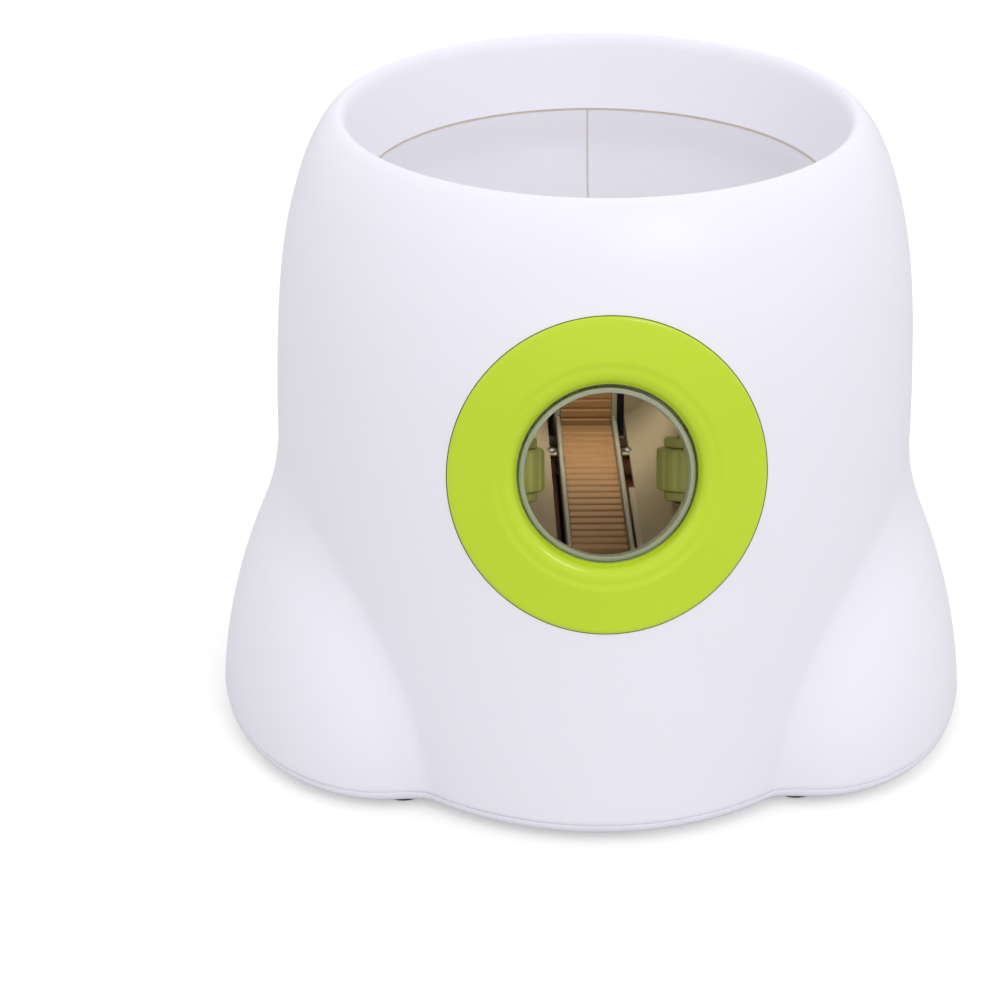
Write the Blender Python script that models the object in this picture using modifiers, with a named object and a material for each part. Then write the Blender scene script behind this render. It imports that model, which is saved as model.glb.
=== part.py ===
"""Tennis ball machine: a drum with a ball hopper on top, on a four-lobed base.

Balls drop through the hopper on to a hinged feed ramp. A small geared motor lifts the ramp, a ball
rolls forward between two throwing wheels, and leaves through the ring in the front of the drum.
Sizes are in millimetres and are turned into metres where meshes and places are made.
The origin is on the ground under the drum's axis, +Z is up and the ring faces -Y.
"""
import math

import bmesh
import bpy
from mathutils import Matrix, Vector

MM = 0.001
GAP = 0.3
WALL = 2.5
OVERSHOOT = 4.0

# Drum: (height, radius) from the belt up to the crest of the rim.
DRUM_PROFILE = (
    (95.0, 112.5), (119.0, 112.2), (150.0, 110.8), (165.0, 109.4), (179.0, 107.2),
    (190.0, 104.6), (201.0, 101.2), (210.0, 97.6), (216.0, 94.4), (219.5, 90.0),
)
BELT_HEIGHT = 95.0
BELT_RADIUS = 112.5
FOOT_HALF_WIDTH = 101.0
FOOT_HALF_DEPTH = 120.0
FLARE_POWER = 1.5

# Side lobes: ellipses in plan that draw in towards the top, and end inside the drum.
LOBE_X = 75.0
LOBE_Y = -2.0
LOBE_SIZE = (60.0, 95.0)
LOBE_SHOULDER = 85.0
LOBE_DRAW_IN = 0.375
LOBE_POWER = 1.85

# Base plate and feet.
BASE_LOW = 3.0
BASE_TOP = 7.0
SHELL_LOW = BASE_TOP + GAP
FOOT_RADIUS = 8.0
FOOT_X = 68.0
FOOT_FRONT_Y = -83.0
FOOT_REAR_Y = 79.0
FOOT_EDGE = 0.8

# Screws through the base: x, y and number.
SCREW_PLACES = ((-47.0, -37.5, 1), (47.0, -37.5, 2), (-28.3, 31.8, 3), (28.3, 31.8, 4))

# Hopper: (height, radius, distance of its centre behind the drum's axis).
HOPPER_PROFILE = (
    (192.7, 80.0, 0.0), (178.0, 72.0, 4.0), (163.0, 51.0, 15.0), (152.0, 33.0, 26.0),
    (147.0, 29.0, 28.0), (138.0, 29.0, 28.0),
)
HOPPER_WALL = 2.0
WELL_PROFILE = (
    (0.0, 226.0), (89.5, 226.0), (89.5, 220.0), (86.5, 217.5), (84.5, 212.0), (80.0, 192.5), (0.0, 192.5),
)
COLLAR_LOW = 193.0
COLLAR_RADII = (82.5, 88.0)

# Launch line: rises to the front through the nip between the two throwing wheels.
LAUNCH_RISE = math.radians(22.0)
NIP = Vector((0.0, -58.0, 111.0))
RING_RADIUS = 52.0
RING_PROUD = 1.0
RING_THICKNESS = 3.2
LIP_RADIUS = 29.3
LIP_WALL = 2.5
LINER_RADIUS = 27.0
LINER_WALL = 1.8

# Throwing wheels and their motors, along the wheel axis from the nip.
WHEEL_X = 46.0
WHEEL_RADIUS = 27.0
WHEEL_HALF_HEIGHT = 10.5
TREAD_HALF_HEIGHT = 7.5
TREAD_RIBS = 24
MOTOR_RADIUS = 14.0
MOTOR_LENGTH = 38.0
PLATE_TOP = -13.0
PLATE_LOW = -16.0

# Feed ramp, in its own frame: distance back from the pivot, and height above it.
PIVOT = Vector((0.0, -74.0, 80.0))
RAMP_REST = math.radians(-4.0)
RAMP_LENGTH = 132.0
RAIL_TOP = 8.0
RAIL_INNER = 9.75
RAIL_OUTER = 11.45
PIN_RADIUS = 1.5
PIN_BORE = 1.8
TROUGH_RADIUS = 28.5
TROUGH_WALL = 2.5
TROUGH_AXIS = 31.1
SLOT_HALF_WIDTH = 13.5
CHUTE_TOP = 62.0
CHUTE_BACK = 137.0

# Feed gears.
MODULE = 1.5
SECTOR_FULL_TEETH = 64
PINION_TEETH = 12
MESH_ANGLE = math.radians(-35.0)
SECTOR_RADIUS = MODULE * SECTOR_FULL_TEETH / 2
PINION_RADIUS = MODULE * PINION_TEETH / 2

# Battery bay, in the rear of the base.
BAY_HALF_WIDTH = 54.0
BAY_FRONT = 38.5
BAY_BACK = 95.5
BAY_TOP = 37.0
CELL_RADIUS = 13.0
CELL_LENGTH = 49.5
DOOR_HALF_WIDTH = 48.0
DOOR_FRONT = 41.5
DOOR_BACK = 92.0
DOOR_AXIS = (43.2, 5.0)

# Rear control panel.
PANEL_HALF_WIDTH = 32.0
PANEL_LOW = 96.0
PANEL_HIGH = 146.0
BUTTON_X = 14.0
BUTTON_Z = 116.0
BUTTON_RADIUS = 9.0
LENS_RADIUS = 2.2
LENS_Z = 137.0

FINISHES = {
    "shell_white": ((0.80, 0.80, 0.86), 0.35, 0.0),
    "hopper_white": ((0.72, 0.72, 0.76), 0.4, 0.0),
    "lime_gloss": ((0.52, 0.72, 0.03), 0.15, 0.0),
    "clear_plastic": ((0.80, 0.88, 0.80), 0.08, 0.0),
    "tan_plastic": ((0.30, 0.23, 0.13), 0.5, 0.0),
    "amber_plastic": ((0.26, 0.14, 0.05), 0.55, 0.0),
    "cream_plastic": ((0.42, 0.38, 0.28), 0.5, 0.0),
    "wheel_foam": ((0.19, 0.20, 0.05), 0.8, 0.0),
    "black_plastic": ((0.02, 0.02, 0.02), 0.5, 0.0),
    "black_rubber": ((0.015, 0.015, 0.015), 0.8, 0.0),
    "steel": ((0.60, 0.60, 0.62), 0.3, 1.0),
    "brass": ((0.72, 0.52, 0.20), 0.35, 1.0),
    "board_green": ((0.02, 0.14, 0.05), 0.45, 0.0),
    "cell_wrap": ((0.05, 0.06, 0.08), 0.4, 0.0),
    "button_grey": ((0.35, 0.36, 0.38), 0.45, 0.0),
    "lamp_green": ((0.10, 0.75, 0.20), 0.2, 0.0),
}


def clear_scene():
    for item in list(bpy.data.objects):
        bpy.data.objects.remove(item, do_unlink=True)


def new_collection(name):
    group = bpy.data.collections.new(name)
    bpy.context.scene.collection.children.link(group)
    return group


def finish(name):
    """One Principled material for each finish in the table."""
    material = bpy.data.materials.get(name)
    if material:
        return material
    colour, roughness, metallic = FINISHES[name]
    material = bpy.data.materials.new(name)
    material.use_nodes = True
    shader = material.node_tree.nodes["Principled BSDF"]
    shader.inputs["Base Color"].default_value = (*colour, 1.0)
    shader.inputs["Roughness"].default_value = roughness
    shader.inputs["Metallic"].default_value = metallic
    return material


def to_mesh(bm, name):
    """Give a bmesh in millimetres as a mesh in metres, smooth with sharp edges kept."""
    bmesh.ops.scale(bm, vec=(MM, MM, MM), verts=bm.verts)
    mesh = bpy.data.meshes.new(name)
    bm.to_mesh(mesh)
    bm.free()
    mesh.shade_smooth()
    mesh.set_sharp_from_angle(angle=math.radians(35))
    return mesh


def add_object(name, mesh, group, frame=None):
    item = bpy.data.objects.new(name, mesh)
    group.objects.link(item)
    item.parent = frame
    return item


def piece(name, mesh, finish_name, frame=None):
    mesh.materials.clear()
    mesh.materials.append(finish(finish_name))
    return add_object(name, mesh, PARTS, frame)


def cutter(name, mesh, frame=None):
    item = add_object(name, mesh, CUTTERS, frame)
    item.hide_render = True
    item.display_type = "WIRE"
    return item


def combine(item, tool, operation="DIFFERENCE"):
    step = item.modifiers.new(operation.lower() + "_" + tool.name, "BOOLEAN")
    step.operation = operation
    step.solver = "EXACT"
    step.object = tool


def guide(name, place, turn_x=0.0):
    """An empty that holds a frame: millimetre place, turned about X."""
    item = bpy.data.objects.new(name, None)
    CUTTERS.objects.link(item)
    item.location = Vector(place) * MM
    item.rotation_euler = (turn_x, 0.0, 0.0)
    item.hide_render = True
    return item


def box(low, high):
    bm = bmesh.new()
    size = Vector(high) - Vector(low)
    middle = (Vector(high) + Vector(low)) / 2
    bmesh.ops.create_cube(bm, size=1.0, matrix=Matrix.Translation(middle) @ Matrix.Diagonal((*size, 1.0)))
    return to_mesh(bm, "box")


def rod(radius, start, end, steps=24, end_radius=None):
    bm = bmesh.new()
    span = Vector(end) - Vector(start)
    turn = span.to_track_quat("Z", "Y").to_matrix().to_4x4()
    place = Matrix.Translation((Vector(start) + Vector(end)) / 2) @ turn
    tip = radius if end_radius is None else end_radius
    bmesh.ops.create_cone(bm, cap_ends=True, segments=steps, radius1=radius, radius2=tip,
                          depth=span.length, matrix=place)
    return to_mesh(bm, "rod")


def turned(name, profile, steps, finish_name=None, frame=None, closed=False):
    """Spin a (radius, height) profile, listed down its outer side, about local Z."""
    bm = bmesh.new()
    dots = [bm.verts.new((radius, 0.0, height)) for radius, height in profile]
    for first, second in zip(dots, dots[1:]):
        bm.edges.new((first, second))
    if closed:
        bm.edges.new((dots[-1], dots[0]))
    mesh = to_mesh(bm, name)
    item = piece(name, mesh, finish_name, frame) if finish_name else cutter(name, mesh, frame)
    spin = item.modifiers.new("spin", "SCREW")
    spin.axis = "Z"
    spin.angle = math.tau
    spin.steps = steps
    spin.render_steps = steps
    spin.use_merge_vertices = True
    spin.merge_threshold = 0.00001
    return item


def loft(sections, steps):
    """Skin a stack of ellipses, low to high: (height, half width, half depth, x, y)."""
    bm = bmesh.new()
    rings = []
    for height, half_width, half_depth, x, y in sections:
        angles = [math.tau * i / steps for i in range(steps)]
        rings.append([bm.verts.new((x + half_width * math.cos(angle), y + half_depth * math.sin(angle),
                                    height)) for angle in angles])
    for lower, upper in zip(rings, rings[1:]):
        for i in range(steps):
            j = (i + 1) % steps
            bm.faces.new((lower[i], lower[j], upper[j], upper[i]))
    bm.faces.new(list(reversed(rings[0])))
    bm.faces.new(rings[-1])
    return to_mesh(bm, "loft")


def plate(name, outlines, low, high):
    """Extrude flat outlines, the outer one first and holes after it, along local Z."""
    curve = bpy.data.curves.new(name, "CURVE")
    curve.dimensions = "2D"
    curve.fill_mode = "BOTH"
    curve.extrude = (high - low) / 2 * MM
    for outline in outlines:
        spline = curve.splines.new("POLY")
        spline.points.add(len(outline) - 1)
        for point, (x, y) in zip(spline.points, outline):
            point.co = (x * MM, y * MM, 0.0, 1.0)
        spline.use_cyclic_u = True
    holder = bpy.data.objects.new(name, curve)
    CUTTERS.objects.link(holder)
    bpy.context.view_layer.update()
    mesh = bpy.data.meshes.new_from_object(holder.evaluated_get(bpy.context.evaluated_depsgraph_get()))
    bpy.data.objects.remove(holder)
    bm = bmesh.new()
    bm.from_mesh(mesh)
    bmesh.ops.remove_doubles(bm, verts=bm.verts, dist=0.000001)
    bmesh.ops.translate(bm, vec=(0.0, 0.0, (high + low) / 2 * MM), verts=bm.verts)
    bmesh.ops.recalc_face_normals(bm, faces=bm.faces)
    bm.to_mesh(mesh)
    bm.free()
    mesh.name = name
    mesh.shade_smooth()
    mesh.set_sharp_from_angle(angle=math.radians(35))
    return mesh


def stand_up(mesh, turn):
    """Turn a flat plate's mesh before it is placed."""
    mesh.transform(turn.to_4x4())
    return mesh


# Local x, y and z of a flat plate on these world axes.
ACROSS_X = Matrix(((0, 0, 1), (1, 0, 0), (0, 1, 0)))
ALONG_RAMP = Matrix(((1, 0, 0), (0, 0, -1), (0, 1, 0)))


def circle(radius, steps, x=0.0, y=0.0):
    return [(x + radius * math.cos(math.tau * i / steps), y + radius * math.sin(math.tau * i / steps))
            for i in range(steps)]


def lower_section(height, offset):
    """Half width and half depth of the drum below the belt, where it flares to the base."""
    share = max(0.0, 1.0 - height / BELT_HEIGHT) ** FLARE_POWER
    half_width = BELT_RADIUS + (FOOT_HALF_WIDTH - BELT_RADIUS) * share
    half_depth = BELT_RADIUS + (FOOT_HALF_DEPTH - BELT_RADIUS) * share
    return (height, half_width + offset, half_depth + offset, 0.0, 0.0)


def drum_sections(offset, low, high, heights=(25.0, 45.0, 65.0, 80.0)):
    sections = [lower_section(low, offset)] if low < BELT_HEIGHT else []
    sections += [lower_section(height, offset) for height in heights if low < height < high]
    sections += [(height, radius + offset, radius + offset, 0.0, 0.0)
                 for height, radius in DRUM_PROFILE if low < height <= high]
    return sections


def lobe_sections(side, offset, low, top):
    sections = []
    heights = [height for height in (25.0, 45.0, 60.0, 72.0, 84.0, 96.0) if low < height < top]
    for height in [low, *heights, top]:
        share = 1.0 - LOBE_DRAW_IN * (max(height, 0.0) / LOBE_SHOULDER) ** LOBE_POWER
        sections.append((height, LOBE_SIZE[0] * share + offset, LOBE_SIZE[1] * share + offset,
                         side * LOBE_X, LOBE_Y))
    return sections


def make_body_shell():
    """Drum, lobes and rim in one moulding, open below, with a well in its top."""
    low = SHELL_LOW - OVERSHOOT
    shell = piece("body_shell", loft(drum_sections(0.0, low, 220.0), 48), "shell_white")
    for side, word in ((-1, "left"), (1, "right")):
        combine(shell, cutter("lobe_" + word, loft(lobe_sections(side, 0.0, low - 0.7, 108.0), 36)), "UNION")
    combine(shell, cutter("drum_hollow", loft(drum_sections(-WALL, low - 1.0, 216.0), 28)))
    for side, word in ((-1, "left"), (1, "right")):
        hollow = loft(lobe_sections(side, -WALL, low - 1.7, 105.0), 24)
        combine(shell, cutter("lobe_hollow_" + word, hollow))
    plug = rod(COLLAR_RADII[0], (0, 0, COLLAR_LOW), (0, 0, 218.0), 36, COLLAR_RADII[1])
    combine(shell, cutter("collar_plug", plug), "UNION")
    combine(shell, turned("well", WELL_PROFILE, 36))
    combine(shell, cutter("shell_floor", box((-150, -140, -10), (150, 140, SHELL_LOW))))
    front = rod(RING_RADIUS + GAP, (0, 0, 0), (0, -80, 0), 36)
    combine(shell, cutter("ring_hole", front, LAUNCH))
    panel_hole = box((-PANEL_HALF_WIDTH - GAP, 90, PANEL_LOW - GAP),
                     (PANEL_HALF_WIDTH + GAP, 125, PANEL_HIGH + GAP))
    combine(shell, cutter("panel_hole", panel_hole))
    combine(shell, cutter("jack_hole", rod(5.3, (0, 100, 40), (0, 130, 40), 20)))


def base_outline(inset, steps=64):
    """Plan of the base: the outermost of the drum's foot and the two lobes at each angle."""
    points = []
    for i in range(steps):
        angle = math.tau * i / steps
        x, y = math.cos(angle), math.sin(angle)
        drum = 1.0 / math.hypot(x / FOOT_HALF_WIDTH, y / FOOT_HALF_DEPTH)
        reach = max(drum, lobe_reach(x, y, -1), lobe_reach(x, y, 1)) - inset
        points.append((reach * x, reach * y))
    return points


def lobe_reach(x, y, side):
    """Distance from the drum's axis to the far side of a lobe's foot, or 0 where a ray misses it."""
    width, depth = LOBE_SIZE
    cx, cy = side * LOBE_X, LOBE_Y
    a = (x / width) ** 2 + (y / depth) ** 2
    b = x * cx / width ** 2 + y * cy / depth ** 2
    c = (cx / width) ** 2 + (cy / depth) ** 2 - 1.0
    root = b * b - a * c
    return (b + math.sqrt(root)) / a if root > 0.0 else 0.0


def make_base():
    base = piece("base_plate", plate("base_plate", [base_outline(0.4)], BASE_LOW, BASE_TOP), "shell_white")
    bay = box((-DOOR_HALF_WIDTH - 0.5, DOOR_FRONT - 1.2, 0), (DOOR_HALF_WIDTH + 0.5, DOOR_BACK + 0.5, 10))
    combine(base, cutter("bay_opening", bay))
    y, z = DOOR_AXIS
    hinge = rod(1.6, (-DOOR_HALF_WIDTH - 3, y, z), (DOOR_HALF_WIDTH + 3, y, z), 12)
    combine(base, cutter("door_hinge_hole", hinge))
    for i in range(5):
        x = -94.0 + 6.0 * i
        combine(base, cutter("speaker_slot_%d" % (i + 1), box((x, 0, 0), (x + 2.5, 24, 10))))
    for x, y, number in SCREW_PLACES:
        screw_hole = turned("screw_hole_%d" % number, ((0.0, 9.0), (1.8, 9.0), (1.8, 5.3), (3.5, 5.3),
                                                       (3.5, 0.0), (0.0, 0.0)), 16)
        screw_hole.location = (x * MM, y * MM, 0.0)
        combine(base, screw_hole)
        screw = turned("base_screw_%d" % number, ((0.0, 15.0), (1.5, 15.0), (1.5, 5.0), (3.0, 5.0),
                                                  (3.0, 3.6), (2.4, 3.1), (0.0, 3.1)), 16, "steel")
        screw.location = (x * MM, y * MM, 0.0)
    for side, word in ((-1, "left"), (1, "right")):
        for y, end in ((FOOT_FRONT_Y, "front"), (FOOT_REAR_Y, "rear")):
            top = BASE_LOW - GAP
            sole = FOOT_RADIUS - FOOT_EDGE
            profile = ((0.0, top), (FOOT_RADIUS, top), (FOOT_RADIUS, FOOT_EDGE), (sole, 0.0), (0.0, 0.0))
            foot = turned("foot_%s_%s" % (end, word), profile, 24, "black_rubber")
            foot.location = (side * FOOT_X * MM, y * MM, 0.0)


def make_hopper():
    """Two mirrored halves of the funnel, split on the centre plane."""
    inner = [(z, radius, radius, 0.0, y) for z, radius, y in reversed(HOPPER_PROFILE)]
    inner[0] = (inner[0][0] - 2.0, *inner[0][1:])
    inner[-1] = (inner[-1][0] + 1.0, *inner[-1][1:])
    outer = [(z, radius + HOPPER_WALL, radius + HOPPER_WALL, 0.0, y)
             for z, radius, y in reversed(HOPPER_PROFILE)]
    hollow = cutter("hopper_hollow", loft(inner, 28))
    for side, word in ((-1, "left"), (1, "right")):
        half = piece("hopper_" + word, loft(outer, 28), "hopper_white")
        combine(half, hollow)
        near, far = sorted((side * 0.2, -side * 100.0))
        combine(half, cutter("hopper_split_" + word, box((near, -100, 130), (far, 100, 200))))


def make_muzzle():
    """Ring that follows the drum's curve, the short tube in its bore, and the clear liner behind it."""
    steps = 70
    levels = (70.0, 80.0, 87.0)
    ring = piece("muzzle_ring", loft(drum_sections(RING_PROUD, 60.0, 201.0, levels), steps), "lime_gloss")
    combine(ring, cutter("ring_edge", rod(RING_RADIUS, (0, 0, 0), (0, -90, 0), 36), LAUNCH), "INTERSECT")
    combine(ring, cutter("ring_back", loft(drum_sections(RING_PROUD - RING_THICKNESS, 59.0, 210.0, levels),
                                           steps)))
    combine(ring, cutter("ring_bore", rod(LIP_RADIUS + 1.0, (0, 10, 0), (0, -99, 0), 28), LAUNCH))
    lip = cutter("ring_lip", tube_mesh(LIP_RADIUS, LIP_WALL, 43.0, 85.0, 28), LAUNCH)
    trim = cutter("lip_trim", loft(drum_sections(RING_PROUD - 0.4, 58.0, 201.0, levels), steps))
    combine(lip, trim, "INTERSECT")
    combine(ring, lip, "UNION")

    tube = tube_mesh(LINER_RADIUS, LINER_WALL, 30.0, 85.0, 28)
    liner = piece("muzzle_liner", tube, "clear_plastic", LAUNCH)
    flange = cutter("liner_flange", tube_mesh(LINER_RADIUS + 0.6, 7.0, 38.0, 40.5, 28), LAUNCH)
    combine(liner, cutter("liner_trim", loft(drum_sections(-1.0, 57.0, 201.0, levels), steps)), "INTERSECT")
    combine(liner, flange, "UNION")


def tube_mesh(radius, wall, start, end, steps):
    """Tube along the launch line, from start to end in front of the nip."""
    mesh = plate("tube", [circle(radius + wall, steps), circle(radius, steps)], start, end)
    return stand_up(mesh, Matrix.Rotation(math.radians(90), 3, "X"))


def ramp_point(back, up):
    """World y and z of a point in the ramp's frame at rest."""
    y = PIVOT.y + back * math.cos(RAMP_REST) - up * math.sin(RAMP_REST)
    z = PIVOT.z + back * math.sin(RAMP_REST) + up * math.cos(RAMP_REST)
    return y, z


def trough_arc(radius, side, steps=8):
    """Lower quarter of the trough, from the slot up to the height of the ball's centre."""
    start = math.asin(SLOT_HALF_WIDTH / radius)
    angles = [start + (math.pi / 2 - start) * i / steps for i in range(steps + 1)]
    return [(side * radius * math.sin(angle), TROUGH_AXIS - radius * math.cos(angle)) for angle in angles]


def make_chute():
    """Two half troughs that guide the ball, with windows for the throwing wheels."""
    outer_radius = TROUGH_RADIUS + TROUGH_WALL
    for side, word in ((-1, "left"), (1, "right")):
        outline = trough_arc(outer_radius, side)
        outline += [(side * outer_radius, CHUTE_TOP), (side * TROUGH_RADIUS, CHUTE_TOP)]
        outline += list(reversed(trough_arc(TROUGH_RADIUS, side)))
        mesh = stand_up(plate("chute", [outline], -CHUTE_BACK + 1.0, 8.0), ALONG_RAMP)
        half = piece("chute_" + word, mesh, "tan_plastic", RAMP)
        near, far = sorted((side * GAP, side * (outer_radius - 0.2)))
        back = box((near, CHUTE_BACK - 2.5, -6.0), (far, CHUTE_BACK, CHUTE_TOP - 0.2))
        combine(half, cutter("chute_back_" + word, back, RAMP), "UNION")
        for number, distance in ((1, 29.0), (2, 105.0)):
            y, z = ramp_point(distance, 15.0)
            near, far = sorted((side * 25.5, side * 30.8))
            post = box((near, y - 4.0, SHELL_LOW), (far, y + 4.0, z))
            combine(half, cutter("chute_post_%s_%d" % (word, number), post), "UNION")
        near, far = sorted((side * SLOT_HALF_WIDTH, side * 18.5))
        combine(half, cutter("pin_rib_" + word, box((near, -4.2, 0.0), (far, 4.2, 5.6)), RAMP), "UNION")
        ear = rod(4.5, (side * (SLOT_HALF_WIDTH - 0.1), 0, 0), (side * 18.4, 0, 0), 20)
        combine(half, cutter("pin_ear_" + word, ear, RAMP), "UNION")
        bore = rod(PIN_BORE, (side * 10, 0, 0), (side * 25, 0, 0), 16)
        combine(half, cutter("pin_bore_" + word, bore, RAMP))
        window = rod(WHEEL_RADIUS + 1.5, (side * WHEEL_X, 0, -12.0), (side * WHEEL_X, 0, 12.0), 40)
        combine(half, cutter("wheel_window_" + word, window, LAUNCH))
        combine(half, cutter("chute_front_" + word, box((-60, -80, -60), (60, -28.5, 60)), LAUNCH))
        eye = rod(2.5, (side * 20, 104.0, TROUGH_AXIS + 2.0), (side * 40, 104.0, TROUGH_AXIS + 2.0), 16)
        combine(half, cutter("sensor_eye_" + word, eye, RAMP))
        x, y, number = SCREW_PLACES[3 if side > 0 else 2]
        combine(half, cutter("post_screw_" + word, rod(PIN_BORE, (x, y, 0), (x, y, 17), 12)))
        near, far = sorted((side * (outer_radius + GAP), side * (outer_radius + 6.0)))
        sensor = box((near, 99.0, TROUGH_AXIS - 4.0), (far, 109.0, TROUGH_AXIS + 8.0))
        piece("ball_sensor_" + word, sensor, "black_plastic", RAMP)


def rib_outline():
    """Tread of a throwing wheel: upright ribs round its rim."""
    points = []
    for i in range(TREAD_RIBS):
        for share, depth in ((0.0, 0.0), (0.5, 0.0), (0.6, 0.7), (0.9, 0.7)):
            angle = math.tau * (i + share) / TREAD_RIBS
            radius = WHEEL_RADIUS - depth
            points.append((radius * math.cos(angle), radius * math.sin(angle)))
    return points


def make_wheels():
    """Throwing wheels on motor shafts, their motors below, and the brackets that hold them."""
    half = WHEEL_HALF_HEIGHT
    tread = TREAD_HALF_HEIGHT
    for side, word in ((-1, "left"), (1, "right")):
        axle = guide("wheel_axle_" + word, NIP + Vector((side * WHEEL_X, 0.0, 0.0)), -LAUNCH_RISE)
        turned("wheel_hub_" + word, ((PIN_BORE, half), (24.5, half), (24.5, tread), (21.0, tread),
               (21.0, -tread), (24.5, -tread), (24.5, -half), (PIN_BORE, -half)), 24,
               "cream_plastic", axle, closed=True)
        tyre = plate("tyre", [rib_outline(), circle(21.0 + GAP, 24)], GAP - tread, tread - GAP)
        piece("wheel_tyre_" + word, tyre, "wheel_foam", axle)
        piece("wheel_shaft_" + word, rod(PIN_RADIUS, (0, 0, -24), (0, 0, 9), 16), "steel", axle)
        can_top = PLATE_LOW - GAP
        turned("wheel_motor_" + word, ((0.0, -25.0), (PIN_BORE, -25.0), (PIN_BORE, -12.0), (5.5, -12.0),
               (5.5, can_top), (MOTOR_RADIUS, can_top), (MOTOR_RADIUS, can_top - MOTOR_LENGTH),
               (0.0, can_top - MOTOR_LENGTH)), 20, "steel", axle)
        near, far = sorted((side * 33.0, side * 62.0))
        bracket = piece("motor_bracket_" + word, box((near, -24, PLATE_LOW), (far, 24, PLATE_TOP)),
                        "black_plastic", LAUNCH)
        combine(bracket, cutter("motor_hole_" + word, rod(6.0, (0, 0, -20), (0, 0, -8), 24), axle))
        leg = box((near + 0.2, -47.0, SHELL_LOW), (far - 0.2, -43.5, 90.4))
        combine(bracket, cutter("bracket_leg_" + word, leg), "UNION")
        foot = box((near + 0.4, -46.5, SHELL_LOW + 0.001), (far - 0.4, -31.0, SHELL_LOW + 3.0))
        combine(bracket, cutter("bracket_foot_" + word, foot), "UNION")
        x, y, number = SCREW_PLACES[1 if side > 0 else 0]
        combine(bracket, cutter("bracket_screw_" + word, rod(PIN_BORE, (x, y, 0), (x, y, 20), 12)))


def tooth(angle, pitch_radius):
    """Six points of one gear tooth, root to tip and back, with running clearance."""
    shape = ((-1.25, -1.8), (-0.93, 0.0), (-0.45, 1.2), (0.45, 1.2), (0.93, 0.0), (1.25, -1.8))
    points = []
    for offset, rise in shape:
        radius = pitch_radius + rise
        turn = angle + offset / radius
        points.append((radius * math.cos(turn), radius * math.sin(turn)))
    return points


def make_ramp():
    """Hinged feed ramp with its ribbed pad, pivot pin and toothed sector."""
    rail = [(-RAIL_OUTER, -1.0), (-RAIL_OUTER, RAIL_TOP), (-RAIL_INNER, RAIL_TOP), (-RAIL_INNER, 4.0),
            (RAIL_INNER, 4.0), (RAIL_INNER, RAIL_TOP), (RAIL_OUTER, RAIL_TOP), (RAIL_OUTER, -1.0),
            (RAIL_INNER, -1.0), (RAIL_INNER, 2.0), (-RAIL_INNER, 2.0), (-RAIL_INNER, -1.0)]
    ramp = piece("feed_ramp", stand_up(plate("ramp", [rail], -RAMP_LENGTH, 3.4), ALONG_RAMP),
                 "cream_plastic", RAMP)
    knuckle = rod(3.6, (-RAIL_OUTER + 0.1, 0, 0), (RAIL_OUTER - 0.1, 0, 0), 20)
    combine(ramp, cutter("ramp_knuckle", knuckle, RAMP), "UNION")
    combine(ramp, cutter("ramp_bore", rod(PIN_BORE, (-15, 0, 0), (15, 0, 0), 16), RAMP))
    piece("ramp_pivot_pin", rod(PIN_RADIUS, (-18.0, 0, 0), (18.0, 0, 0), 16), "steel", RAMP)

    pitch = 6.0
    ribs = [(129.0, 4.0 + GAP), (6.0, 4.0 + GAP)]
    for i in range(20):
        start = 7.0 + pitch * i
        ribs += [(start, 4.8), (start + 0.3, 5.3), (start + 3.7, 5.3), (start + 4.0, 4.8)]
    ribs.append((129.0, 4.8))
    pad = stand_up(plate("pad", [ribs], GAP - RAIL_INNER, RAIL_INNER - GAP), ACROSS_X)
    piece("ramp_pad", pad, "amber_plastic", RAMP)

    step = math.tau / SECTOR_FULL_TEETH
    middle = MESH_ANGLE - RAMP_REST
    outline = [(9.0, 2.0 - GAP), (45.0, 2.0 - GAP)]
    for i in range(1, -5, -1):
        outline += reversed(tooth(middle + i * step, SECTOR_RADIUS))
    outline.append((9.0, -12.0))
    sector = stand_up(plate("sector", [outline], -2.5, 2.5), ACROSS_X)
    piece("sector_gear", sector, "cream_plastic", RAMP)


def make_feed_drive():
    """Pinion, gearbox and motor that lift the ramp."""
    reach = SECTOR_RADIUS + PINION_RADIUS
    y = PIVOT.y + reach * math.cos(MESH_ANGLE)
    z = PIVOT.z + reach * math.sin(MESH_ANGLE)
    axle = guide("pinion_axle", (0.0, y, z))
    first = MESH_ANGLE + math.pi + math.pi / PINION_TEETH
    outline = []
    for i in range(PINION_TEETH):
        outline += tooth(first + math.tau * i / PINION_TEETH, PINION_RADIUS)
    pinion = piece("feed_pinion", stand_up(plate("pinion", [outline], -3.0, 3.0), ACROSS_X), "brass", axle)
    combine(pinion, cutter("pinion_shaft", rod(2.0, (-2.0, 0, 0), (19.0, 0, 0), 16), axle), "UNION")
    gearbox = piece("feed_gearbox", box((5.0, -13.0, -13.0), (23.0, 13.0, 13.0)), "black_plastic", axle)
    combine(gearbox, cutter("gearbox_bore", rod(2.4, (0, 0, 0), (20.0, 0, 0), 16), axle))
    foot = box((6.0, -10.0, SHELL_LOW - z), (22.0, 10.0, -12.0))
    combine(gearbox, cutter("gearbox_foot", foot, axle), "UNION")
    piece("feed_motor", rod(10.0, (23.0 + GAP, 0, 0), (48.0, 0, 0), 24), "steel", axle)


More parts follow.
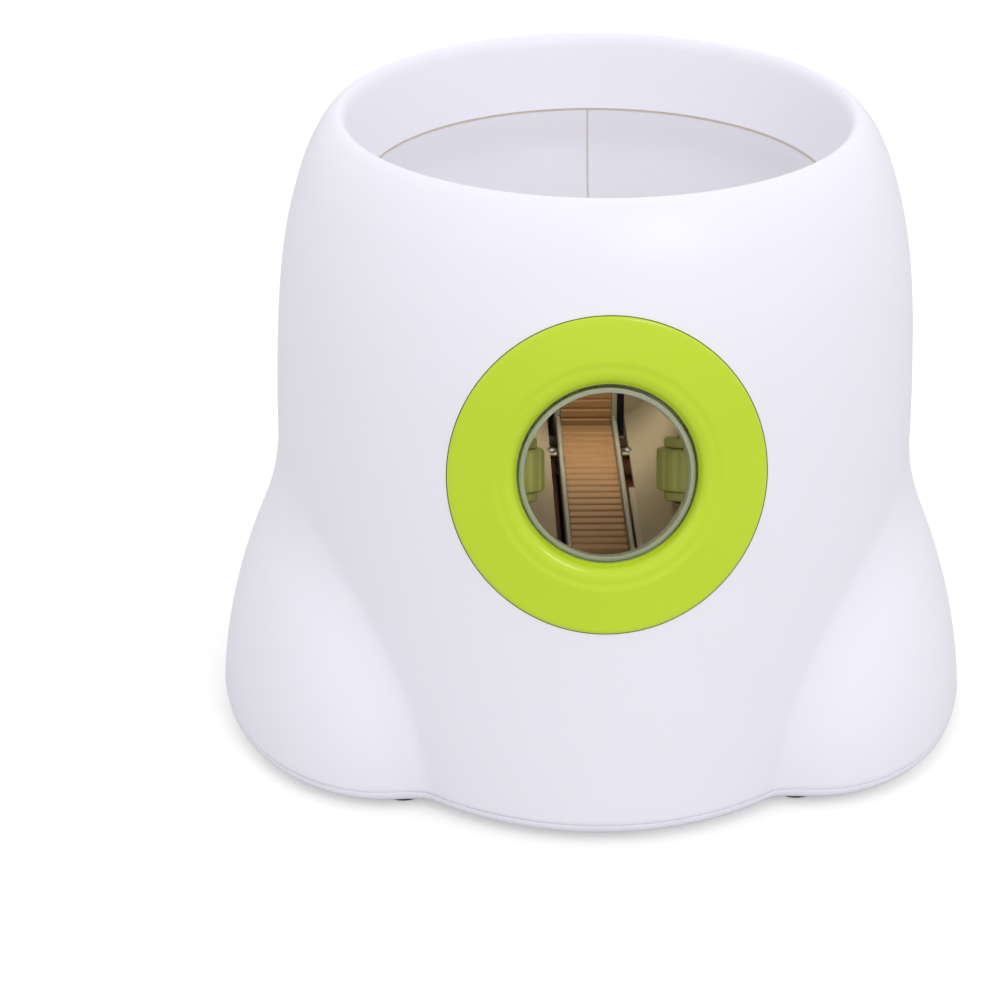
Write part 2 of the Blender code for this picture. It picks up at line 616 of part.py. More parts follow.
def make_battery_bay():
    """Cell tray open below, its hinged door, four cells and the two contact strips."""
    wall = 1.6
    block = box((-BAY_HALF_WIDTH, BAY_FRONT, SHELL_LOW), (BAY_HALF_WIDTH, BAY_BACK, BAY_TOP))
    tray = piece("battery_tray", block, "black_plastic")
    hollow = box((-BAY_HALF_WIDTH + wall, BAY_FRONT + wall, 0.0),
                 (BAY_HALF_WIDTH - wall, BAY_BACK - wall, BAY_TOP - wall))
    combine(tray, cutter("tray_hollow", hollow))
    middle = (BAY_FRONT + BAY_BACK) / 2
    number = 0
    for x in (-1, 1):
        for row in (-1, 1):
            number += 1
            y = middle + row * (CELL_RADIUS + 0.3)
            start, end = (x * 0.5, y, 21.5), (x * (CELL_LENGTH + 0.5), y, 21.5)
            piece("battery_cell_%d" % number, rod(CELL_RADIUS, start, end, 24), "cell_wrap")
    for side, word in ((-1, "left"), (1, "right")):
        near, far = sorted((side * 50.6, side * 51.4))
        strip = box((near, middle - 20.0, 14.0), (far, middle + 20.0, 29.0))
        piece("battery_contact_" + word, strip, "steel")
    axis_y, axis_z = DOOR_AXIS
    hinge = guide("door_hinge", (0.0, axis_y, axis_z))
    door = piece("battery_door", box((-DOOR_HALF_WIDTH, DOOR_FRONT - axis_y, -1.7),
                                     (DOOR_HALF_WIDTH, DOOR_BACK - axis_y, 0.9)), "shell_white", hinge)
    stub = rod(1.2, (-DOOR_HALF_WIDTH - 2.2, 0, 0), (DOOR_HALF_WIDTH + 2.2, 0, 0), 12)
    combine(door, cutter("door_stubs", stub, hinge), "UNION")
    for i in range(3):
        groove = box((-12, 41.0 + 2.5 * i, -3.0), (12, 42.0 + 2.5 * i, -1.0))
        combine(door, cutter("door_grip_%d" % (i + 1), groove, hinge))


def make_panel():
    """Rear control panel that follows the drum, two push buttons, three lamps and the supply socket."""
    panel = piece("control_panel", loft(drum_sections(0.8, 80.0, 180.0, ()), 64), "button_grey")
    frame = box((-PANEL_HALF_WIDTH, 60, PANEL_LOW), (PANEL_HALF_WIDTH, 130, PANEL_HIGH))
    combine(panel, cutter("panel_edge", frame), "INTERSECT")
    combine(panel, cutter("panel_back", loft(drum_sections(-2.2, 79.0, 190.0, ()), 64)))
    for side, word in ((-1, "power"), (1, "distance")):
        x = side * BUTTON_X
        hole = rod(BUTTON_RADIUS + 0.4, (x, 90, BUTTON_Z), (x, 130, BUTTON_Z), 20)
        combine(panel, cutter(word + "_button_hole", hole))
        button = turned(word + "_button", ((0.0, 15.0), (BUTTON_RADIUS - 1.0, 15.0), (BUTTON_RADIUS, 14.0),
                        (BUTTON_RADIUS, 4.0), (BUTTON_RADIUS + 2.0, 4.0), (BUTTON_RADIUS + 2.0, 2.5),
                        (3.0, 2.5), (3.0, 0.0), (0.0, 0.0)), 20, "lime_gloss")
        button.location = (x * MM, 0.0995, BUTTON_Z * MM)
        button.rotation_euler = (math.radians(-90), 0.0, 0.0)
    for i, word in ((-1, "near"), (0, "middle"), (1, "far")):
        x = i * 10.0
        hole = rod(LENS_RADIUS + GAP, (x, 90, LENS_Z), (x, 130, LENS_Z), 14)
        combine(panel, cutter("lamp_hole_" + word, hole))
        piece("lamp_" + word, rod(LENS_RADIUS, (x, 104, LENS_Z), (x, 112.8, LENS_Z), 14), "lamp_green")
    board = box((-28, 95.5, PANEL_LOW + 4), (28, 97.0, PANEL_HIGH - 4))
    piece("button_board", board, "board_green")
    jack = turned("power_socket", ((0.0, -13.0), (3.2, -13.0), (3.2, 0.0), (7.5, 0.0), (7.5, -1.5),
                  (5.0, -1.5), (5.0, -16.0), (0.0, -16.0)), 20, "black_plastic")
    jack.location = (0.0, (lower_section(40.0, 0.0)[2] + 2.9) * MM, 40.0 * MM)
    jack.rotation_euler = (math.radians(-90), 0.0, 0.0)


def make_electronics():
    """Main board on four stand-offs, and the loudspeaker over its slots."""
    board = piece("control_board", box((-27, -104, 13), (27, -60, 14.6)), "board_green")
    for x in (-23, 23):
        for y in (-100, -64):
            post = cutter("board_post_%d_%d" % (x + 30, -y), rod(2.2, (x, y, SHELL_LOW), (x, y, 14.0), 12))
            combine(board, post, "UNION")
    chip = box((-9, -90, 14.0), (9, -72, 17.0))
    combine(board, cutter("board_chip", chip), "UNION")
    speaker = turned("speaker", ((0.0, 20.0), (9.0, 20.0), (9.0, 15.0), (20.0, 11.0), (20.0, SHELL_LOW),
                     (17.0, SHELL_LOW), (6.0, 12.0), (0.0, 13.0)), 20, "black_plastic")
    speaker.location = (-80.0 * MM, 12.0 * MM, 0.0)


clear_scene()
PARTS = new_collection("tennis_ball_machine")
CUTTERS = new_collection("cutters")
LAUNCH = guide("launch_frame", NIP, -LAUNCH_RISE)
RAMP = guide("ramp_frame", PIVOT, RAMP_REST)

make_body_shell()
make_base()
make_hopper()
make_muzzle()
make_chute()
make_wheels()
make_ramp()
make_feed_drive()
make_battery_bay()
make_panel()
make_electronics()
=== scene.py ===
"""Looks of the tennis ball machine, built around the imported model.

Sizes are in millimetres in the object's own frame and become metres where meshes are made.
"""
import math

import bmesh
import bpy
import numpy as np
from mathutils import Matrix, Vector


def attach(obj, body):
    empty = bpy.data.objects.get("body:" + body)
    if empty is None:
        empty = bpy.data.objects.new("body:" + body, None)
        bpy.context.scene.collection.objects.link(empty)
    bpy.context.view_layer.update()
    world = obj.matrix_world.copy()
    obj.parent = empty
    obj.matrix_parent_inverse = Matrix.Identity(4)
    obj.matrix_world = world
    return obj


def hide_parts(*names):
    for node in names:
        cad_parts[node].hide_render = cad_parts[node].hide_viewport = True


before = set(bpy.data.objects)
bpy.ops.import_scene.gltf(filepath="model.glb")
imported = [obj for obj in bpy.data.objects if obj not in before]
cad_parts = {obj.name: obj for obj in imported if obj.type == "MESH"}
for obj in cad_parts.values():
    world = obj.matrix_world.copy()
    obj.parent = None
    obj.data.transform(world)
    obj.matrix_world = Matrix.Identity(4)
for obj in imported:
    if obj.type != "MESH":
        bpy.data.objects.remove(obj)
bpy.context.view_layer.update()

MM = 0.001

# Drum: (radius, height) from the belt up over the rolled rim and down the collar to the hopper seam.
DRUM_LINE = (
    (112.5, 95.0), (112.2, 119.0), (111.6, 135.0), (110.8, 150.0), (109.4, 165.0), (107.2, 179.0),
    (104.6, 190.0), (101.2, 201.0), (98.2, 208.0), (95.2, 213.4), (91.8, 217.6), (89.0, 219.3),
    (87.2, 218.6), (86.0, 216.4), (85.2, 213.0), (84.0, 207.5), (82.0, 199.5), (80.2, 193.4),
)
SMOOTH_STEPS = 8
RIM_INDEX = 7
CREST_INDEX = 11
# Inside of the collar: (radius, height) from the hopper seam up under the rim and down to the wall.
COLLAR_LINE = (
    (80.3, 193.1), (80.6, 193.0), (83.0, 193.0), (84.5, 200.0), (86.6, 208.0), (88.0, 214.0),
    (90.5, 215.8), (93.0, 213.2), (96.5, 206.0),
)
BODY_STEPS = 640
BELT_HEIGHT = 95.0
BELT_RADIUS = 112.5
FOOT_HALF_WIDTH = 101.0
FOOT_HALF_DEPTH = 120.0
FLARE_POWER = 1.5
WALL = 2.5

# Side lobes: ellipses in plan that draw in towards the top, and end inside the drum.
LOBE_X = 75.0
LOBE_Y = -2.0
LOBE_SIZE = (60.0, 95.0)
LOBE_SHOULDER = 85.0
LOBE_DRAW_IN = 0.375
LOBE_POWER = 1.85
LOBE_TOP = 108.0
CREASE_BLEND = 9.0

# Base plate, screws, feet and the battery door.
BASE_LOW = 3.0
BASE_TOP = 7.0
SHELL_LOW = 7.3
BASE_EDGE = (
    (4.0, BASE_TOP), (0.7, BASE_TOP), (0.35, BASE_TOP - 0.2), (0.3, BASE_TOP - 0.6), (0.45, BASE_LOW + 2.4),
    (0.8, BASE_LOW + 1.5), (1.4, BASE_LOW + 0.8), (2.2, BASE_LOW + 0.3), (3.2, BASE_LOW + 0.05),
    (4.2, BASE_LOW), (6.0, BASE_LOW),
)
SCREW_PLACES = ((-47.0, -37.5), (47.0, -37.5), (-28.3, 31.8), (28.3, 31.8))
FOOT_PLACES = ((-68.0, -83.0), (68.0, -83.0), (-68.0, 79.0), (68.0, 79.0))
DOOR_HALF_WIDTH = 48.0
DOOR_FRONT = 41.5
DOOR_BACK = 92.0
DOOR_AXIS = (43.2, 5.0)
SPEAKER_SLOTS = 5
SPEAKER_LEFT = -94.0
SPEAKER_PITCH = 6.0

# Hopper: (height, radius, distance of its centre behind the drum's axis).
HOPPER_PROFILE = (
    (192.7, 80.0, 0.0), (178.0, 72.0, 4.0), (163.0, 51.0, 15.0), (152.0, 33.0, 26.0),
    (147.0, 29.0, 28.0), (138.0, 29.0, 28.0),
)
HOPPER_WALL = 2.0
HOPPER_SPLIT = 0.2

# Launch line, muzzle ring and clear tube.
LAUNCH_RISE = math.radians(22.0)
NIP = np.array((0.0, -58.0, 111.0))
FORWARD = np.array((0.0, -math.cos(LAUNCH_RISE), math.sin(LAUNCH_RISE)))
UPWARD = np.array((0.0, math.sin(LAUNCH_RISE), math.cos(LAUNCH_RISE)))
RING_RADIUS = 52.0
RING_GAP = 0.3
RING_STEPS = 224
BORE_RADIUS = 29.4
ROLL_START = 35.0
ROLL_DEPTH = 6.5
ROLL_STEPS = 16
RING_BACK = 43.4
LINER_RADIUS = 27.0
LINER_WALL = 1.8
LINER_SET_BACK = -7.0
LINER_END = 30.4
# The collar behind the ring that holds the tube: (radius, distance along the launch line).
LINER_COLLAR = ((34.4, 38.0), (34.6, 38.2), (34.6, 40.3), (34.4, 40.5))
# How far the ring's bore and the tube sit above the launch line.
BORE_LIFT = 1.0
LINER_LIFT = 0.5

# Throwing wheels.
WHEEL_X = 46.0
WHEEL_RADIUS = 27.0
WHEEL_HALF_HEIGHT = 10.5
TREAD_HALF_HEIGHT = 7.5
TREAD_RIBS = 24

# Feed ramp and the chute beside it: distance back from the pivot, and height above it.
PIVOT = (0.0, -74.0, 80.0)
RAMP_REST = math.radians(-4.0)
RAMP_LENGTH = 132.0
RAIL_TOP = 8.0
RAIL_INNER = 9.75
RAIL_OUTER = 11.45
PIVOT_BORE = 1.8
PAD_RIBS = 20
PAD_PITCH = 6.0
TROUGH_RADIUS = 28.5
TROUGH_WALL = 2.5
TROUGH_AXIS = 31.1
ARC_STEPS = 28
SLOT_HALF_WIDTH = 14.6
CHUTE_TOP = 62.0
CHUTE_FRONT = 8.0
CHUTE_BACK = 137.0
CHUTE_POSTS = (29.0, 105.0)
BACK_WALL = 2.5
TAB_PLACE = (98.0, 6.6)
# Top of the ball-stop pad on the back wall.
STOP_TOP = 17.5

# Rear panel and supply socket.
PANEL_HALF_WIDTH = 32.0
PANEL_LOW = 96.0
PANEL_HIGH = 146.0
PANEL_CORNER = 5.0
BUTTON_X = 14.0
BUTTON_Z = 116.0
BUTTON_RADIUS = 9.0
LENS_RADIUS = 2.2
LENS_Z = 137.0
LENS_PLACES = (("near", -10.0), ("middle", 0.0), ("far", 10.0))
SOCKET_Z = 40.0
SOCKET_HOLE = 5.3

# Main board: its top face, the capacitors (x, y, radius, height) and the plugs (x). The wires' starts are
# (side, x), and each ends under a wheel motor, this far below its wheel.
BOARD_TOP = 14.6
CAPACITORS = ((-20, -72, 3.0, 7.0), (-20, -80, 3.0, 7.0), (18, -94, 4.0, 9.0), (18, -84, 2.5, 5.0))
PLUG_PLACES = (-18, 0, 18)
WIRE_RADIUS = 0.7
MOTOR_REACH = 55.0
WIRE_STARTS = ((-1, -16.0), (-1, -14.0), (1, 16.0), (1, 14.0))

# Finishes, light and camera.
MOTTLE_SCALE = 22.0
GRAIN_SCALE = 1400.0
GRAIN_DEPTH = 0.00008
WORLD_STRENGTH = 1.0
KEY_POWER = 4.6
SIDE_POWER = 0.6
TOP_POWER = 0.6
FLOOR_GLOW = 0.7
INSIDE_POWER = 0.04
AIM = (0.0, 0.0, 0.1)


def at(place, tilt=0.0):
    """Matrix that tilts a mesh about x, in radians, and moves it to a place in millimetres."""
    return Matrix.Translation(Vector(place) * MM) @ Matrix.Rotation(tilt, 4, "X")


LAUNCH = at(NIP, -LAUNCH_RISE)
RAMP = at(PIVOT, RAMP_REST)
TO_REAR = math.radians(-90.0)

# Local x, y and z of a flat outline's extrusion on these axes.
ACROSS_X = Matrix(((0, 0, 1), (1, 0, 0), (0, 1, 0))).to_4x4()
ALONG_RAMP = Matrix(((1, 0, 0), (0, 0, -1), (0, 1, 0))).to_4x4()


# ---------------------------------------------------------------- mesh helpers

def curve_through(points, per_span):
    """Smooth Catmull-Rom line through points."""
    dots = np.array(points, float)
    dots = np.vstack((2 * dots[0] - dots[1], dots, 2 * dots[-1] - dots[-2]))
    line = []
    for a, b, c, d in zip(dots, dots[1:], dots[2:], dots[3:]):
        for i in range(per_span):
            t = i / per_span
            line.append(0.5 * (2 * b + (c - a) * t + (2 * a - 5 * b + 4 * c - d) * t ** 2
                               + (3 * b - a - 3 * c + d) * t ** 3))
    line.append(dots[-2])
    return np.array(line)


def shade(mesh, angle=35.0):
    mesh.shade_smooth()
    mesh.set_sharp_from_angle(angle=math.radians(angle))


def grid_mesh(name, points, close_rows=True, close_columns=True, caps=False, angle=35.0):
    """Skin a (rows, columns, 3) array of millimetre points with quads, and cap its open ends."""
    rows, columns = points.shape[:2]
    faces = []
    for i in range(rows if close_rows else rows - 1):
        for j in range(columns if close_columns else columns - 1):
            k, m = (i + 1) % rows, (j + 1) % columns
            faces.append((i * columns + j, i * columns + m, k * columns + m, k * columns + j))
    if caps and not close_rows:
        faces += [list(range(columns)), [(rows - 1) * columns + j for j in range(columns)]]
    if caps and not close_columns:
        faces += [[i * columns for i in range(rows)], [i * columns + columns - 1 for i in range(rows)]]
    mesh = bpy.data.meshes.new(name)
    mesh.from_pydata((points.reshape(-1, 3) * MM).tolist(), [], faces)
    mesh.validate()
    bm = bmesh.new()
    bm.from_mesh(mesh)
    bmesh.ops.recalc_face_normals(bm, faces=bm.faces)
    bm.to_mesh(mesh)
    bm.free()
    shade(mesh, angle)
    return mesh


def extrusion(outline, low, high, axes):
    """Closed solid from a flat outline, drawn out from low to high along its third axis."""
    rows = np.array([[(u, v, w) for u, v in outline] for w in (low, high)])
    mesh = grid_mesh("extrusion", rows, close_rows=False, caps=True)
    mesh.transform(axes)
    return mesh


def placed(mesh, place):
    mesh.transform(place)
    return mesh


def add(name, data):
    item = bpy.data.objects.new(name, data)
    bpy.context.scene.collection.objects.link(item)
    return item


def piece(name, mesh, finish, body="root", replaces=None):
    """Show a mesh as a piece of the object, in place of a CAD node where one is named."""
    item = add(name, mesh)
    item.data.name = name
    item.data.materials.clear()
    item.data.materials.append(finish)
    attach(item, body)
    if replaces:
        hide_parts(replaces)
    return item


def carve(mesh, *tools, operation="DIFFERENCE"):
    """Cut closed meshes out of a mesh, or join them to it, and give back the result."""
    item = add("blank", mesh)
    others = [add("tool", other) for other in tools]
    for other in others:
        step = item.modifiers.new("carve", "BOOLEAN")
        step.operation = operation
        step.solver = "EXACT"
        step.object = other
    bpy.context.view_layer.update()
    result = bpy.data.meshes.new_from_object(item.evaluated_get(bpy.context.evaluated_depsgraph_get()))
    for used in (item, *others):
        bpy.data.objects.remove(used)
    shade(result)
    return result


def round_edges(item, width):
    """Soften the sharp edges by a small bevel, in millimetres."""
    step = item.modifiers.new("soft_edges", "BEVEL")
    step.width = width * MM
    step.segments = 2
    step.limit_method = "ANGLE"
    step.angle_limit = math.radians(35)
    step.use_clamp_overlap = True


def box(low, high):
    bm = bmesh.new()
    size = Vector(high) - Vector(low)
    middle = (Vector(high) + Vector(low)) / 2
    bmesh.ops.create_cube(bm, size=1.0, matrix=Matrix.Translation(middle) @ Matrix.Diagonal((*size, 1.0)))
    return from_bmesh(bm, "box")


def rod(radius, start, end, steps=64):
    bm = bmesh.new()
    span = Vector(end) - Vector(start)
    turn = span.to_track_quat("Z", "Y").to_matrix().to_4x4()
    place = Matrix.Translation((Vector(start) + Vector(end)) / 2) @ turn
    bmesh.ops.create_cone(bm, cap_ends=True, segments=steps, radius1=radius, radius2=radius,
                          depth=span.length, matrix=place)
    return from_bmesh(bm, "rod")


def from_bmesh(bm, name):
    bmesh.ops.scale(bm, vec=(MM, MM, MM), verts=bm.verts)
    mesh = bpy.data.meshes.new(name)
    bm.to_mesh(mesh)
    bm.free()
    shade(mesh)
    return mesh


def lathe_points(profile, steps):
    """Spin (radius, height) points about local Z."""
    angles = np.linspace(0.0, math.tau, steps, endpoint=False)
    line = np.array(profile, float)
    return np.stack((line[:, :1] * np.cos(angles), line[:, :1] * np.sin(angles),
                     np.repeat(line[:, 1:], steps, axis=1)), axis=-1)


def in_launch_frame(points):
    """Local x, y back and z up of the launch line into the object's frame."""
    return (NIP + points[..., :1] * np.array((1.0, 0.0, 0.0)) - points[..., 1:2] * FORWARD
            + points[..., 2:3] * UPWARD)


# ---------------------------------------------------------------- materials

def material(name, slot, colour, roughness, grain=0.2, mottle=0.03, metallic=0.0, transmission=0.0, glow=0.0):
    """Finish with soft variation of colour and gloss, and a fine grain in the surface."""
    made = bpy.data.materials.new(name)
    made.use_nodes = True
    made["slot"] = slot
    nodes, links = made.node_tree.nodes, made.node_tree.links
    shader = nodes["Principled BSDF"]
    shader.inputs["Metallic"].default_value = metallic
    shader.inputs["Transmission Weight"].default_value = transmission
    shader.inputs["IOR"].default_value = 1.46
    shader.inputs["Emission Color"].default_value = (*colour, 1.0)
    shader.inputs["Emission Strength"].default_value = glow
    place = nodes.new("ShaderNodeTexCoord")
    cloud = nodes.new("ShaderNodeTexNoise")
    cloud.inputs["Scale"].default_value = MOTTLE_SCALE
    cloud.inputs["Detail"].default_value = 5.0
    links.new(place.outputs["Object"], cloud.inputs["Vector"])
    tint = nodes.new("ShaderNodeMix")
    tint.data_type = "RGBA"
    tint.inputs["A"].default_value = (*[c * (1.0 - mottle) for c in colour], 1.0)
    tint.inputs["B"].default_value = (*[min(1.0, c * (1.0 + mottle)) for c in colour], 1.0)
    links.new(cloud.outputs["Fac"], tint.inputs["Factor"])
    links.new(tint.outputs["Result"], shader.inputs["Base Color"])
    gloss = nodes.new("ShaderNodeMapRange")
    gloss.inputs["To Min"].default_value = max(0.0, roughness - 0.05)
    gloss.inputs["To Max"].default_value = roughness + 0.05
    links.new(cloud.outputs["Fac"], gloss.inputs["Value"])
    links.new(gloss.outputs["Result"], shader.inputs["Roughness"])
    fine = nodes.new("ShaderNodeTexNoise")
    fine.inputs["Scale"].default_value = GRAIN_SCALE
    fine.inputs["Detail"].default_value = 3.0
    links.new(place.outputs["Object"], fine.inputs["Vector"])
    bump = nodes.new("ShaderNodeBump")
    bump.inputs["Strength"].default_value = grain
    bump.inputs["Distance"].default_value = GRAIN_DEPTH
    links.new(fine.outputs["Fac"], bump.inputs["Height"])
    links.new(bump.outputs["Normal"], shader.inputs["Normal"])
    return made


WHITE = material("shell_white_finish", "shell_white", (0.815, 0.80, 0.88), 0.38, grain=0.12, mottle=0.01)
# The funnel's white is the shell's white made about a tenth darker: painted shade inside the funnel.
SHADED_HOPPER_WHITE = material("shaded_hopper_white_finish", "hopper_white", (0.72, 0.71, 0.765), 0.45, grain=0.15,
                        mottle=0.01)
SEAL = material("seal_finish", "tan_plastic", (0.66, 0.58, 0.42), 0.6)
# Dark green copy of the lime: painted shade of the ring's edge down in the gap round the ring.
PAINTED_GAP_SHADE = material("painted_gap_shade_finish", "lime_gloss", (0.10, 0.17, 0.01), 0.6)
LIME = material("lime_finish", "lime_gloss", (0.51, 0.675, 0.022), 0.16, grain=0.03)
CLEAR = material("clear_finish", "clear_plastic", (0.72, 0.77, 0.60), 0.15, grain=0.02, transmission=0.55)
TAN = material("tan_finish", "tan_plastic", (0.30, 0.24, 0.14), 0.45)
CREAM = material("cream_finish", "cream_plastic", (0.29, 0.265, 0.18), 0.45)
AMBER = material("amber_finish", "amber_rubber", (0.32, 0.17, 0.06), 0.5, grain=0.4)
TREAD = material("tread_finish", "wheel_rubber", (0.50, 0.50, 0.14), 0.6, grain=0.5)
BLACK = material("black_finish", "black_plastic", (0.02, 0.02, 0.02), 0.5)
RUBBER = material("rubber_finish", "black_rubber", (0.015, 0.015, 0.015), 0.75, grain=0.5)
STEEL = material("steel_finish", "steel", (0.60, 0.60, 0.62), 0.28, metallic=1.0)
CAN = material("can_finish", "motor_can", (0.55, 0.55, 0.57), 0.35, metallic=1.0)
BRASS = material("brass_finish", "brass", (0.72, 0.52, 0.20), 0.3, metallic=1.0)
BOARD = material("board_finish", "board_green", (0.02, 0.14, 0.05), 0.4)
CELL = material("cell_finish", "cell_wrap", (0.05, 0.06, 0.08), 0.35)
GREY = material("grey_finish", "button_grey", (0.35, 0.36, 0.38), 0.45)
LAMP = material("lamp_finish", "lamp_green", (0.10, 0.75, 0.20), 0.15, glow=0.3)
RED_WIRE = material("red_wire_finish", "black_rubber", (0.45, 0.02, 0.02), 0.4)
# Near-black brown for the beds under the slots beside the ramp: painted shade seen down the slots.
SLOT_SHADE = material("slot_shade_finish", "black_plastic", (0.10, 0.035, 0.015), 0.5)
BLACK_WIRE = material("black_wire_finish", "black_rubber", (0.02, 0.02, 0.02), 0.4)


# ---------------------------------------------------------------- body surface

DRUM_SMOOTH = curve_through(DRUM_LINE, SMOOTH_STEPS)
DRUM_WALL = DRUM_SMOOTH[:CREST_INDEX * SMOOTH_STEPS + 1]


def drum_reach(angle, height):
    """Radius of the drum, or of its flared foot, at an angle and a height."""
    share = np.clip(1.0 - height / BELT_HEIGHT, 0.0, 1.0) ** FLARE_POWER
    half_width = BELT_RADIUS + (FOOT_HALF_WIDTH - BELT_RADIUS) * share
    half_depth = BELT_RADIUS + (FOOT_HALF_DEPTH - BELT_RADIUS) * share
    foot = 1.0 / np.hypot(np.cos(angle) / half_width, np.sin(angle) / half_depth)
    wall = np.interp(height, DRUM_WALL[:, 1], DRUM_WALL[:, 0])
    return np.where(height < BELT_HEIGHT, foot, wall)


def lobe_reach(angle, height, side):
    """Distance from the drum's axis to the far side of a lobe, or 0 where there is none."""
    share = 1.0 - LOBE_DRAW_IN * (np.clip(height, 0.0, LOBE_TOP) / LOBE_SHOULDER) ** LOBE_POWER
    width, depth = LOBE_SIZE[0] * share, LOBE_SIZE[1] * share
    x, y = np.cos(angle), np.sin(angle)
    a = (x / width) ** 2 + (y / depth) ** 2
    b = x * side * LOBE_X / width ** 2 + y * LOBE_Y / depth ** 2
    c = (LOBE_X / width) ** 2 + (LOBE_Y / depth) ** 2 - 1.0
    root = b * b - a * c
    reach = (b + np.sqrt(np.maximum(root, 0.0))) / a
    return np.where((root > 0.0) & (height < LOBE_TOP), np.maximum(reach, 0.0), 0.0)


def soft_max(one, two):
    """The larger of two distances, filleted where they cross."""
    overlap = np.maximum(CREASE_BLEND - np.abs(one - two), 0.0) / CREASE_BLEND
    return np.maximum(one, two) + overlap * overlap * CREASE_BLEND / 4.0


def body_reach(angle, height):
    """Radius of the whole body at an angle and a height: drum and lobes with a moulded fillet between."""
    lobes = np.maximum(lobe_reach(angle, height, -1.0), lobe_reach(angle, height, 1.0))
    return soft_max(drum_reach(angle, height), lobes)


def ring_of(angles, radius, height):
    return np.stack((radius * np.cos(angles), radius * np.sin(angles), np.full_like(angles, height)), axis=-1)


def body_ring(angles, inset, height):
    """Outline of the body at a height, drawn in by an inset."""
    return ring_of(angles, body_reach(angles, np.full_like(angles, height)) - inset, height)


def make_shell():
    """Outer skin from the base seam over the rolled rim to the hopper seam, and back down the inside."""
    angles = np.linspace(0.0, math.tau, BODY_STEPS, endpoint=False)
    rows = []
    for inset, height in ((0.4, SHELL_LOW), (0.12, SHELL_LOW + 0.08), (0.0, SHELL_LOW + 0.35)):
        rows.append(body_ring(angles, inset, height))
    for height in np.arange(SHELL_LOW + 1.6, 200.0, 1.7):
        rows.append(body_ring(angles, 0.0, height))
    for radius, height in (*DRUM_SMOOTH[RIM_INDEX * SMOOTH_STEPS:], *COLLAR_LINE):
        rows.append(ring_of(angles, np.full_like(angles, radius), height))
    for height in np.linspace(196.0, SHELL_LOW, 26):
        rows.append(body_ring(angles, WALL, height))
    muzzle = placed(rod(RING_RADIUS + RING_GAP, (0, 0, 0), (0, -85, 0), 160), LAUNCH)
    window = rounded_block(PANEL_HALF_WIDTH + 0.3, PANEL_LOW - 0.3, PANEL_HIGH + 0.3, PANEL_CORNER + 0.3)
    socket = rod(SOCKET_HOLE, (0, 100, SOCKET_Z), (0, 130, SOCKET_Z), 48)
    shell = carve(grid_mesh("drum_shell", np.array(rows)), muzzle, window, socket)
    piece("drum_shell", shell, WHITE, replaces="body_shell")


def make_base():
    """Base plate with a rounded edge, bay opening, loudspeaker slots and countersunk screw holes."""
    angles = np.linspace(0.0, math.tau, BODY_STEPS, endpoint=False)
    reach = body_reach(angles, np.full_like(angles, BASE_TOP))
    rows = [ring_of(angles, reach - inset, height) for inset, height in BASE_EDGE]
    plate = grid_mesh("base_moulding", np.array(rows), close_rows=False, caps=True)
    half, (y, z) = DOOR_HALF_WIDTH, DOOR_AXIS
    tools = [box((-half - 0.5, DOOR_FRONT - 1.2, 0), (half + 0.5, DOOR_BACK + 0.5, 10)),
             rod(1.6, (-half - 3, y, z), (half + 3, y, z), 24)]
    for k in range(SPEAKER_SLOTS):
        left = SPEAKER_LEFT + SPEAKER_PITCH * k
        tools.append(box((left, 0, 0), (left + 2.5, 24, 10)))
    for x, y in SCREW_PLACES:
        tools.append(rod(1.8, (x, y, 0), (x, y, 10), 24))
        tools.append(rod(3.5, (x, y, 0), (x, y, 5.3), 32))
    groove = ((10.6, 1.0), (10.6, BASE_LOW + 0.5), (9.8, BASE_LOW + 0.5), (9.8, 1.0))
    for x, y in FOOT_PLACES:
        tools.append(placed(grid_mesh("groove", lathe_points(groove, 64)), at((x, y, 0))))
    piece("base_moulding", carve(plate, *tools), WHITE, replaces="base_plate")
    low, high = BASE_TOP + 0.02, SHELL_LOW - 0.02
    seal = ((0.5, low), (0.5, high), (2.2, high), (2.2, low))
    rows = [ring_of(angles, reach - inset, height) for inset, height in seal]
    piece("base_seal", grid_mesh("base_seal", np.array(rows)), WHITE)
    make_feet()


def make_feet():
    """Rubber feet with two grooves round the sole."""
    top = BASE_LOW - 0.3
    profile = ((0.01, top), (7.6, top), (8.0, top - 0.3), (8.0, 0.9), (7.8, 0.35), (7.2, 0.0), (6.4, 0.0),
               (6.2, 0.25), (5.8, 0.25), (5.6, 0.0), (3.6, 0.0), (3.4, 0.25), (3.0, 0.25), (2.8, 0.0),
               (0.01, 0.0))
    for (x, y), word in zip(FOOT_PLACES, ("front_left", "front_right", "rear_left", "rear_right")):
        foot = placed(grid_mesh("foot", lathe_points(profile, 64)), at((x, y, 0)))
        piece("rubber_foot_" + word, foot, RUBBER, replaces="foot_" + word)


# ---------------------------------------------------------------- muzzle

def body_distance(x, up):
    """How far along the launch line the body's surface lies, at a place beside the line."""
    near, far = np.full_like(x, 10.0), np.full_like(x, 95.0)
    for _ in range(30):
        middle = (near + far) / 2
        point = in_launch_frame(np.stack((x, -middle, up), axis=-1))
        outside = np.hypot(point[..., 0], point[..., 1]) > body_reach(
            np.arctan2(point[..., 1], point[..., 0]), point[..., 2])
        far = np.where(outside, middle, far)
        near = np.where(outside, near, middle)
    return (near + far) / 2


def around_launch(name, section):
    """Closed ring about the launch line, from (radius, height over the body, distance, lift) points.

    Where the height over the body is None, the point lies at a fixed distance along the line instead.
    """
    angles = np.linspace(0.0, math.tau, RING_STEPS, endpoint=False)
    rows = []
    for radius, proud, distance, lift in section:
        x, up = radius * np.cos(angles), radius * np.sin(angles) + lift
        along = np.full_like(x, distance) if proud is None else body_distance(x, up) + proud
        rows.append(in_launch_frame(np.stack((x, -along, up), axis=-1)))
    return grid_mesh(name, np.array(rows))


